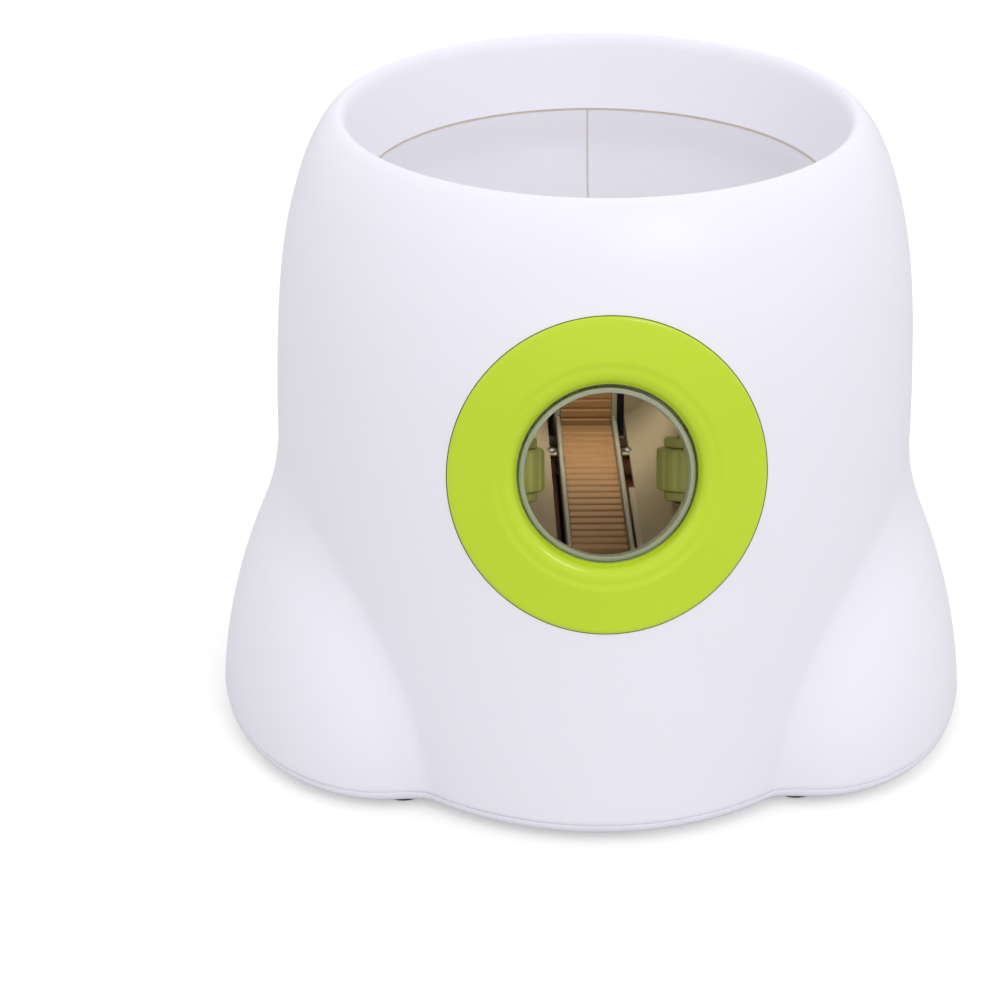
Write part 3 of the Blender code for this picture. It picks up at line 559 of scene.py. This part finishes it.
def on_body(*points, lift=0.0):
    """Section points given by radius and height over the body."""
    return [(radius, proud, 0, lift) for radius, proud in points]


def on_line(*points, lift=0.0):
    """Section points given by radius and distance along the launch line."""
    return [(radius, None, distance, lift) for radius, distance in points]


def make_muzzle():
    """Lime ring that follows the drum and rolls into its bore, a dark green sheet of painted shade in the gap
    round it, and the clear tube.
    """
    section = on_body((52.0, -2.2), (52.0, 0.2), (51.85, 0.6), (51.5, 0.88), (51.0, 1.0), (50.0, 1.0),
                      (48.0, 1.0), (45.0, 1.0), (42.0, 1.0), (39.5, 1.0), (38.0, 1.0), (37.2, 0.93),
                      (36.5, 0.6), (35.8, 0.3), (ROLL_START, 0.25))
    for k in range(1, ROLL_STEPS + 1):
        turn = math.radians(90.0 * k / ROLL_STEPS)
        section.append((ROLL_START - (ROLL_START - BORE_RADIUS) * math.sin(turn),
                        0.25 - ROLL_DEPTH * (1.0 - math.cos(turn)), 0, BORE_LIFT * k / ROLL_STEPS))
    section += on_body((BORE_RADIUS, -9.0), lift=BORE_LIFT)
    section += on_line((BORE_RADIUS, RING_BACK), (BORE_RADIUS + 0.4, RING_BACK - 0.4),
                       (31.4, RING_BACK - 0.4), (31.8, RING_BACK), lift=BORE_LIFT)
    section += on_body((31.8, -8.5), lift=BORE_LIFT)
    section += on_body((33.5, -4.6), (36.5, -2.4), (40.0, -2.2), (46.0, -2.2), (51.0, -2.2))
    piece("lime_ring", around_launch("lime_ring", section), LIME, replaces="muzzle_ring")
    # Dark green sheet that fills the gap round the ring: painted shade, not a part of its own.
    inner, outer = RING_RADIUS - 0.1, RING_RADIUS + RING_GAP + 0.1
    section = on_body((inner, -0.9), (inner, -0.35), (outer, -0.35), (outer, -0.9))
    piece("ring_gap_painted_shade", around_launch("ring_gap_painted_shade", section), PAINTED_GAP_SHADE)

    inner, outer, back = LINER_RADIUS, LINER_RADIUS + LINER_WALL, LINER_SET_BACK
    section = on_line((outer, LINER_END), (outer, 38.0), *LINER_COLLAR, (outer, 40.5), lift=LINER_LIFT)
    section += on_body((outer, back - 6.0), (outer, back - 0.5), (outer - 0.2, back - 0.1),
                       (outer - 0.6, back), (inner + 0.6, back), (inner + 0.2, back - 0.1),
                       (inner, back - 0.5), (inner, back - 6.0), lift=LINER_LIFT)
    section += on_line((inner, LINER_END), (inner + 0.5, LINER_END - 0.4), (outer - 0.5, LINER_END - 0.4),
                       lift=LINER_LIFT)
    piece("clear_tube", around_launch("clear_tube", section), CLEAR, replaces="muzzle_liner")


# ---------------------------------------------------------------- hopper

def make_hopper():
    """Two mirrored funnel halves with a rounded edge at the split, and the seals in their seams."""
    line = curve_through([(radius, height, back) for height, radius, back in HOPPER_PROFILE], 10)
    angles = np.linspace(-math.pi / 2, math.pi / 2, 97)
    for side, word in ((-1, "left"), (1, "right")):
        rows = []
        for offset, points in ((0.0, line), (HOPPER_WALL, line[::-1])):
            for radius, height, back in points:
                x = side * (HOPPER_SPLIT + (radius + offset) * np.cos(angles))
                y = back + (radius + offset) * np.sin(angles)
                rows.append(np.stack((x, y, np.full_like(angles, height)), axis=-1))
        mesh = grid_mesh("hopper", np.array(rows), close_columns=False, caps=True)
        # The halves take the darker copy of the white, which paints the shade inside the funnel.
        half = piece("hopper_funnel_" + word, mesh, SHADED_HOPPER_WHITE, replaces="hopper_" + word)
        round_edges(half, 0.35)
    seal = ((79.95, 192.72), (79.95, 192.98), (81.6, 192.98), (81.6, 192.72))
    piece("hopper_seal", grid_mesh("hopper_seal", lathe_points(seal, 192)), SEAL)
    for way, word in ((-1, "front"), (1, "rear")):
        outline = [(back + way * (radius + 0.35), height) for radius, height, back in line]
        outline += [(back + way * (radius + 1.6), height) for radius, height, back in line[::-1]]
        piece("split_seal_" + word, extrusion(outline, -0.17, 0.17, ACROSS_X), SEAL)


# ---------------------------------------------------------------- chute and ramp

def arc(radius, side):
    """Lower quarter of the trough, from the slot up to the height of the ball's centre."""
    angles = np.linspace(math.asin(SLOT_HALF_WIDTH / radius), math.pi / 2, ARC_STEPS + 1)
    return [(side * radius * math.sin(angle), TROUGH_AXIS - radius * math.cos(angle)) for angle in angles]


def ramp_point(back, up):
    """The object's y and z of a point in the ramp's frame at rest."""
    place = RAMP @ Vector((0.0, back * MM, up * MM))
    return place.y / MM, place.z / MM


def side_box(side, low, high):
    """Box whose x runs away from the middle on the given side."""
    corners = list(zip((side * low[0], *low[1:]), (side * high[0], *high[1:])))
    return box([min(pair) for pair in corners], [max(pair) for pair in corners])


def make_chute():
    """Half troughs beside the ramp, with wheel windows, posts and hinge ears."""
    inner, outer, slot = TROUGH_RADIUS, TROUGH_RADIUS + TROUGH_WALL, SLOT_HALF_WIDTH
    end = CHUTE_BACK + 1
    for side, word in ((-1, "left"), (1, "right")):
        outline = arc(outer, side)
        outline += [(side * outer, CHUTE_TOP - 0.6), (side * (outer - 0.6), CHUTE_TOP),
                    (side * (inner + 0.6), CHUTE_TOP), (side * inner, CHUTE_TOP - 0.6)]
        outline += list(reversed(arc(inner, side)))
        half = placed(extrusion(outline, 1.0 - CHUTE_BACK, CHUTE_FRONT, ALONG_RAMP), RAMP)
        wall = side_box(side, (0.3, CHUTE_BACK - BACK_WALL, -6), (outer - 0.2, CHUTE_BACK, CHUTE_TOP - 0.2))
        joins = [placed(wall, RAMP)]
        for distance in CHUTE_POSTS:
            y, z = ramp_point(distance, 15.0)
            joins.append(side_box(side, (25.5, y - 4.0, SHELL_LOW), (30.8, y + 4.0, z)))
        joins.append(placed(side_box(side, (slot, -4.2, 0), (18.5, 4.2, 5.6)), RAMP))
        joins.append(placed(rod(4.5, (side * (slot - 0.1), 0, 0), (side * 18.4, 0, 0), 40), RAMP))
        half = carve(half, *joins, operation="UNION")
        sensor = TROUGH_AXIS + 2
        half = carve(
            half,
            placed(rod(PIVOT_BORE, (side * 10, 0, 0), (side * 25, 0, 0), 24), RAMP),
            placed(rod(WHEEL_RADIUS + 1.5, (side * WHEEL_X, 0, -12), (side * WHEEL_X, 0, 12), 96), LAUNCH),
            placed(box((-60, -80, -60), (60, -28.5, 60)), LAUNCH),
            placed(rod(2.5, (side * 20, 104, sensor), (side * 40, 104, sensor), 32), RAMP),
            placed(side_box(side, (12.0, CHUTE_BACK - 4, -2), (slot, end, STOP_TOP + 6)), RAMP),
            placed(side_box(side, (1.5, CHUTE_BACK - 4, STOP_TOP + 1), (10.5, end, STOP_TOP + 6)), RAMP),
        )
        made = piece("chute_trough_" + word, half, TAN, replaces="chute_" + word)
        round_edges(made, 0.3)
        make_slot_tab(side, word)


def make_slot_tab(side, word):
    """Small tab that crosses the slot beside the ramp, with a pan-head screw."""
    y, z = TAB_PLACE
    tab = placed(side_box(side, (12.0, y - 3.2, z - 1.2), (16.5, y + 3.2, z)), RAMP)
    round_edges(piece("slot_tab_" + word, tab, TAN), 0.5)
    head = ((0.01, 1.5), (1.0, 1.35), (1.7, 0.9), (1.9, 0.3), (1.9, 0.0), (0.9, 0.0), (0.9, -3.0),
            (0.01, -3.0))
    screw = placed(grid_mesh("tab_screw", lathe_points(head, 32)), RAMP @ at((side * 14.0, y, z)))
    piece("tab_screw_" + word, screw, STEEL)


def make_ball_stop():
    """Ribbed pad on the chute's back wall between two strips, the near-black beds under the slots that paint
    the shade seen down them, and a slot cover.
    """
    wall = CHUTE_BACK - BACK_WALL
    ribs = [(wall - 0.05, 3.0), (wall - 0.05, STOP_TOP)]
    height = STOP_TOP
    while height > 4.0:
        ribs += [(wall - 0.9, height), (wall - 1.2, height - 0.4), (wall - 1.2, height - 2.8),
                 (wall - 0.9, height - 3.2)]
        height -= 3.8
    ribs.append((wall - 0.9, 3.0))
    half_width = RAIL_INNER - 0.3
    piece("ball_stop_pad", placed(extrusion(ribs, -half_width, half_width, ACROSS_X), RAMP), AMBER)
    for side, word in ((-1, "left"), (1, "right")):
        strip = side_box(side, (RAIL_INNER, wall - 1.6, 3.0), (RAIL_OUTER + 0.4, wall - 0.05, STOP_TOP + 5.0))
        round_edges(piece("stop_strip_" + word, placed(strip, RAMP), CREAM), 0.3)
        # The bed under each slot is near-black brown: painted shade seen down the slot.
        bed = side_box(side, (12.0, 8.0, -5.0), (17.5, 131.0, -3.6))
        round_edges(piece("slot_shade_bed_" + word, placed(bed, RAMP), SLOT_SHADE), 0.3)
    cover = box((12.4, 3.0, 4.6), (15.6, 62.0, 6.4))
    round_edges(piece("slot_strip", placed(cover, RAMP), TAN), 0.4)


def make_ramp():
    """Hinged ramp with two rails and a hinge barrel, and its ribbed rubber pad."""
    inner, outer, top = RAIL_INNER, RAIL_OUTER, RAIL_TOP
    outline = [(-outer, -1.0), (-outer, top - 0.5), (-outer + 0.4, top), (-inner - 0.3, top),
               (-inner, top - 0.4), (-inner, 4.4), (-inner + 0.4, 4.0), (inner - 0.4, 4.0), (inner, 4.4),
               (inner, top - 0.4), (inner + 0.3, top), (outer - 0.4, top), (outer, top - 0.5),
               (outer, -1.0), (inner, -1.0), (inner, 2.0), (-inner, 2.0), (-inner, -1.0)]
    ramp = placed(extrusion(outline, -RAMP_LENGTH, 3.4, ALONG_RAMP), RAMP)
    barrel = placed(rod(3.6, (0.1 - outer, 0, 0), (outer - 0.1, 0, 0), 48), RAMP)
    ramp = carve(ramp, barrel, operation="UNION")
    tools = [placed(rod(PIVOT_BORE, (-15, 0, 0), (15, 0, 0), 24), RAMP)]
    for k in range(6):
        start = 12.0 + 20.0 * k
        tools.append(placed(box((1.0 - inner, start, -3), (inner - 1.0, start + 2.0, 2.6)), RAMP))
    made = piece("ramp_channel", carve(ramp, *tools), CREAM, body="ramp", replaces="feed_ramp")
    round_edges(made, 0.2)

    ribs = [(129.0, 4.3), (6.0, 4.3)]
    for k in range(PAD_RIBS):
        start = 7.0 + PAD_PITCH * k
        ribs += [(start, 4.8), (start + 0.25, 5.15), (start + 0.6, 5.3), (start + 3.4, 5.3),
                 (start + 3.75, 5.15), (start + 4.0, 4.8)]
    ribs.append((129.0, 4.8))
    pad = placed(extrusion(ribs, 0.3 - inner, inner - 0.3, ACROSS_X), RAMP)
    round_edges(piece("ribbed_pad", pad, AMBER, body="ramp", replaces="ramp_pad"), 0.12)


# ---------------------------------------------------------------- throwing wheels

def make_wheels():
    """Ribbed tyres on flanged hubs with lightening holes."""
    half, tread = WHEEL_HALF_HEIGHT, TREAD_HALF_HEIGHT
    upper = ((1.8, half - 0.3), (2.1, half), (4.6, half), (4.9, half - 0.3), (5.2, half - 1.6),
             (19.5, half - 1.6), (20.0, half - 0.2), (20.4, half), (23.9, half), (24.4, half - 0.3),
             (24.5, half - 0.8), (24.5, tread + 0.2), (24.3, tread), (21.0, tread))
    profile = (*upper, *((radius, -height) for radius, height in reversed(upper)))
    for side, word in ((-1, "left"), (1, "right")):
        axle = at(NIP + np.array((side * WHEEL_X, 0, 0)), -LAUNCH_RISE)
        holes = []
        for k in range(6):
            turn = math.tau * k / 6
            x, y = 12.5 * math.cos(turn), 12.5 * math.sin(turn)
            holes.append(rod(3.4, (x, y, -12), (x, y, 12), 32))
        hub = placed(carve(grid_mesh("hub", lathe_points(profile, 96)), *holes), axle)
        wheel = "wheel_" + word
        piece("flanged_hub_" + word, hub, TREAD, body=wheel, replaces="wheel_hub_" + word)
        piece("ribbed_tyre_" + word, tyre_mesh(axle), TREAD, body=wheel, replaces="wheel_tyre_" + word)


def tyre_mesh(axle):
    """Tyre with upright ribs round its rim and rounded shoulders."""
    angles = np.linspace(0.0, math.tau, TREAD_RIBS * 16, endpoint=False)
    wave = np.cos(angles * TREAD_RIBS)
    groove = 0.7 * (0.5 - 0.5 * np.tanh(wave * 4.0 + 1.4))
    tread = TREAD_HALF_HEIGHT - 0.3
    rows = []
    for inset, height in ((5.6, -tread), (1.2, -tread), (0.35, -tread + 0.3), (0.0, -tread + 1.0),
                          (0.0, 0.0), (0.0, tread - 1.0), (0.35, tread - 0.3), (1.2, tread), (5.6, tread)):
        radius = WHEEL_RADIUS - inset - (groove if inset < 1.0 else 0.0)
        rows.append(ring_of(angles, radius * np.ones_like(angles), height))
    return placed(grid_mesh("tyre", np.array(rows), angle=50.0), axle)


# ---------------------------------------------------------------- rear panel

def drum_slab(half_width, low, high, outside, inside):
    """Closed slab that follows the drum at the rear, between two offsets from its surface."""
    xs = np.linspace(-half_width, half_width, 65)
    zs = np.linspace(low, high, 41)
    outer = np.array([[(x, math.sqrt((drum_radius(z) + outside) ** 2 - x * x), z) for x in xs] for z in zs])
    inner = np.array([[(x, math.sqrt((drum_radius(z) + inside) ** 2 - x * x), z) for x in xs] for z in zs])
    return grid_mesh("slab", np.concatenate((outer, inner[::-1])), close_columns=False, caps=True)


def drum_radius(height):
    return float(np.interp(height, DRUM_WALL[:, 1], DRUM_WALL[:, 0]))


def rounded_block(half_width, low, high, corner):
    """Upright rounded rectangle, long in y, for cutting panel outlines."""
    outline = []
    middle, half = (low + high) / 2, (high - low) / 2
    for sx, sz, start in ((1, 1, 0), (-1, 1, 90), (-1, -1, 180), (1, -1, 270)):
        for k in range(9):
            turn = math.radians(start + 90 * k / 8)
            outline.append((sx * (half_width - corner) + corner * math.cos(turn),
                            middle + sz * (half - corner) + corner * math.sin(turn)))
    return extrusion(outline, -130.0, -80.0, ALONG_RAMP)


def make_panel():
    """Control panel with a raised border, two push buttons and three lamps."""
    w, low, high = PANEL_HALF_WIDTH, PANEL_LOW, PANEL_HIGH
    panel = carve(drum_slab(w + 2, low - 2, high + 2, 0.8, -2.2), rounded_block(w, low, high, PANEL_CORNER),
                  operation="INTERSECT")
    groove = carve(drum_slab(w + 2, low - 2, high + 2, 2.0, 0.35),
                   rounded_block(w - 2.2, low + 2.2, high - 2.2, 3.6), operation="INTERSECT")
    tools = [groove]
    for x in (-BUTTON_X, BUTTON_X):
        tools.append(rod(BUTTON_RADIUS + 0.4, (x, 90, BUTTON_Z), (x, 130, BUTTON_Z), 72))
    for _, x in LENS_PLACES:
        tools.append(rod(LENS_RADIUS + 0.3, (x, 90, LENS_Z), (x, 130, LENS_Z), 40))
    piece("panel_face", carve(panel, *tools), GREY, replaces="control_panel")
    for side, word in ((-1, "power"), (1, "distance")):
        make_button(at((side * BUTTON_X, 99.5, BUTTON_Z), TO_REAR), word)
    r = LENS_RADIUS
    profile = ((0.01, 9.6), (r * 0.5, 9.4), (r * 0.85, 8.9), (r, 8.2), (r, 0.0), (0.01, 0.0))
    for word, x in LENS_PLACES:
        lens = placed(grid_mesh("lens", lathe_points(profile, 40)), at((x, 104.0, LENS_Z), TO_REAR))
        piece("lamp_lens_" + word, lens, LAMP, replaces="lamp_" + word)


def make_button(place, word):
    """Push button with a dished cap, a skirt that keeps it in the panel, and its raised mark."""
    r = BUTTON_RADIUS
    profile = ((0.01, 14.35), (3.0, 14.42), (5.5, 14.6), (r - 2.2, 14.85), (r - 1.5, 15.0), (r - 0.8, 14.9),
               (r - 0.25, 14.5), (r, 13.8), (r, 4.0), (r + 2.0, 4.0), (r + 2.0, 2.5), (3.0, 2.5), (3.0, 0.0),
               (0.01, 0.0))
    cap = placed(grid_mesh("cap", lathe_points(profile, 72)), place)
    button = word + "_button"
    piece(word + "_cap", cap, LIME, body=button, replaces=button)
    for k, mark in enumerate(button_marks(word)):
        piece("%s_mark_%d" % (word, k + 1), placed(mark, place), GREY, body=button)


def make_socket():
    """Supply socket with its flange on the shell, and the steel pin inside."""
    surface = float(drum_reach(math.pi / 2, np.array(SOCKET_Z)))
    place = at((0, surface + 2.9, SOCKET_Z), TO_REAR)
    profile = ((0.01, -13.0), (3.2, -13.0), (3.2, -0.5), (3.5, 0.0), (6.9, 0.0), (7.3, -0.2), (7.5, -0.6),
               (7.5, -1.5), (5.0, -1.5), (5.0, -16.0), (0.01, -16.0))
    socket = placed(grid_mesh("socket", lathe_points(profile, 64)), place)
    piece("supply_socket", socket, BLACK, replaces="power_socket")
    profile = ((0.01, -1.2), (0.6, -1.4), (0.9, -2.0), (0.9, -12.95), (0.01, -12.95))
    piece("socket_pin", placed(grid_mesh("socket_pin", lathe_points(profile, 24)), place), STEEL)


def button_marks(word):
    """Plain raised marks: a ring for on and off, three bars for the three distances."""
    if word == "power":
        ring = ((2.3, 14.3), (2.3, 14.75), (3.0, 14.75), (3.0, 14.3))
        return [grid_mesh("mark", lathe_points(ring, 48))]
    return [box((x - 0.5, -2.4, 14.2), (x + 0.5, -2.4 + height, 14.75))
            for x, height in ((-2.2, 2.0), (0.0, 3.4), (2.2, 4.8))]


# ---------------------------------------------------------------- battery door and the works inside

def make_door():
    """Hinged door with rounded edges, grip grooves and two hinge stubs."""
    half, (y, z) = DOOR_HALF_WIDTH, DOOR_AXIS
    door = carve(box((-half, DOOR_FRONT, z - 1.7), (half, DOOR_BACK, z + 0.9)),
                 rod(1.2, (-half - 2.2, y, z), (half + 2.2, y, z), 24), operation="UNION")
    grooves = [box((-12, y + 41.0 + 2.5 * k, z - 3), (12, y + 42.0 + 2.5 * k, z - 1)) for k in range(3)]
    made = piece("door_panel", carve(door, *grooves), WHITE, body="door", replaces="battery_door")
    round_edges(made, 0.4)


# CAD nodes that stay in sight: finish, and width of their softened edges.
CARRIED = {
    "wheel_motor_left": (CAN, 0.8), "wheel_motor_right": (CAN, 0.8), "feed_motor": (CAN, 0.7),
    "motor_bracket_left": (BLACK, 0.6), "motor_bracket_right": (BLACK, 0.6), "feed_gearbox": (BLACK, 0.8),
    "wheel_shaft_left": (STEEL, 0.2), "wheel_shaft_right": (STEEL, 0.2), "ramp_pivot_pin": (STEEL, 0.25),
    "sector_gear": (CREAM, 0.2), "feed_pinion": (BRASS, 0.15), "battery_tray": (BLACK, 0.5),
    "battery_contact_left": (STEEL, 0.2), "battery_contact_right": (STEEL, 0.2),
    "ball_sensor_left": (BLACK, 0.5), "ball_sensor_right": (BLACK, 0.5), "button_board": (BOARD, 0.15),
    "control_board": (BOARD, 0.2), "speaker": (BLACK, 0.4),
    **{"battery_cell_%d" % (k + 1): (CELL, 1.2) for k in range(4)},
    **{"base_screw_%d" % (k + 1): (STEEL, 0.2) for k in range(4)},
}


def carry_over():
    """Finish the CAD nodes that stay: a procedural material and softened edges each."""
    for name, (finish, width) in CARRIED.items():
        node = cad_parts[name]
        for slot in node.material_slots:
            slot.link = "OBJECT"
            slot.material = finish
        round_edges(node, width)


def make_board_parts():
    """Capacitors and plugs on the main board, and the wires from it to the wheel motors."""
    low = BOARD_TOP
    for k, (x, y, r, height) in enumerate(CAPACITORS):
        profile = ((0.01, low), (r - 0.3, low), (r, low + 0.4), (r - 0.25, low + 1.2), (r, low + 1.8),
                   (r, low + height - 0.4), (r - 0.4, low + height), (0.01, low + height - 0.2))
        mesh = placed(grid_mesh("capacitor", lathe_points(profile, 40)), at((x, y, 0)))
        piece("capacitor_%d" % (k + 1), mesh, CELL)
    for k, x in enumerate(PLUG_PLACES):
        ways = []
        for j in range(3):
            left = x - 4.2 + 3.0 * j
            ways.append(box((left, -104, 16.0), (left + 2.0, -100, 18.5)))
        plug = carve(box((x - 5, -103.5, low), (x + 5, -98.0, low + 5.0)), *ways)
        round_edges(piece("board_plug_%d" % (k + 1), plug, CREAM), 0.2)
    for k, (side, start) in enumerate(WIRE_STARTS):
        motor = Vector(NIP) + Vector((side * WHEEL_X, 0, 0)) - Vector(UPWARD) * MOTOR_REACH
        end = motor + Vector((side * (3.0 if k % 2 else -3.0), 0, 0.4))
        path = [Vector((start, -99.0, 18.0)), Vector((start + side * 6, -92.0, 24.0)),
                Vector((side * 38, -78.0, 20.0)), end + Vector((0, -4.0, -10.0)), end]
        wire("motor_wire_%d" % (k + 1), path, RED_WIRE if k % 2 else BLACK_WIRE)


def wire(name, path, finish):
    """Insulated wire as a swept tube through a few points."""
    line = curve_through([tuple(point) for point in path], 10)
    rows = []
    for i, point in enumerate(line):
        along = Vector(line[min(i + 1, len(line) - 1)] - line[max(i - 1, 0)]).normalized()
        across = along.cross(Vector((0.0, 0.3, 1.0))).normalized()
        other = along.cross(across)
        rows.append([tuple(Vector(point) + WIRE_RADIUS * (math.cos(turn) * across + math.sin(turn) * other))
                     for turn in (math.tau * k / 12 for k in range(12))])
    piece(name, grid_mesh(name, np.array(rows), close_rows=False, caps=True), finish)


# ---------------------------------------------------------------- stage, light and camera

def make_stage():
    """Plain pale floor, which glows a little for the camera only and so leaves the object's light alone."""
    floor = add("floor", box((-3000, -3000, -10), (3000, 6000, 0)))
    finish = material("floor_finish", "shell_white", (0.61, 0.61, 0.61), 0.8, mottle=0.0, grain=0.0)
    nodes, links = finish.node_tree.nodes, finish.node_tree.links
    ray = nodes.new("ShaderNodeLightPath")
    glow = nodes.new("ShaderNodeMath")
    glow.operation = "MULTIPLY"
    glow.inputs[1].default_value = FLOOR_GLOW
    links.new(ray.outputs["Is Camera Ray"], glow.inputs[0])
    links.new(glow.outputs["Value"], nodes["Principled BSDF"].inputs["Emission Strength"])
    floor.data.materials.append(finish)


def area_light(name, place, aim, size, power, seen=True):
    lamp = bpy.data.lights.new(name, "AREA")
    lamp.shape = "DISK"
    lamp.size = size
    lamp.energy = power
    item = add(name, lamp)
    item.location = place
    item.rotation_euler = (Vector(aim) - Vector(place)).to_track_quat("-Z", "Y").to_euler()
    item.visible_camera = seen
    item.visible_glossy = seen
    item.visible_transmission = seen


def make_light():
    """White surroundings, a key and two fills, and a small lamp in the launch space."""
    world = bpy.data.worlds.new("studio")
    bpy.context.scene.world = world
    world.use_nodes = True
    background = world.node_tree.nodes["Background"]
    background.inputs["Color"].default_value = (1.0, 1.0, 1.0, 1.0)
    background.inputs["Strength"].default_value = WORLD_STRENGTH
    area_light("key", (0.6, -1.25, 1.1), AIM, 0.7, KEY_POWER)
    area_light("side_fill", (-1.0, -0.9, 0.9), AIM, 0.5, SIDE_POWER)
    area_light("top_fill", (0.1, 0.3, 1.5), AIM, 0.8, TOP_POWER)
    area_light("inside_fill", (0.0, 0.03, 0.135), (0.0, -0.01, 0.08), 0.03, INSIDE_POWER, seen=False)


def make_camera():
    lens = bpy.data.cameras.new("camera")
    lens.lens = 108.0
    lens.sensor_width = 36.0
    lens.clip_start = 0.01
    camera = add("camera", lens)
    camera.location = (-0.0470, -0.9794, 0.543)
    camera.rotation_euler = (math.radians(64.3), 0.0, math.radians(-0.8))
    bpy.context.scene.camera = camera


make_shell()
make_base()
make_muzzle()
make_hopper()
make_chute()
make_ball_stop()
make_ramp()
make_wheels()
make_panel()
make_socket()
make_door()
carry_over()
make_board_parts()
make_stage()
make_light()
make_camera()
bpy.context.scene.view_settings.view_transform = "Standard"
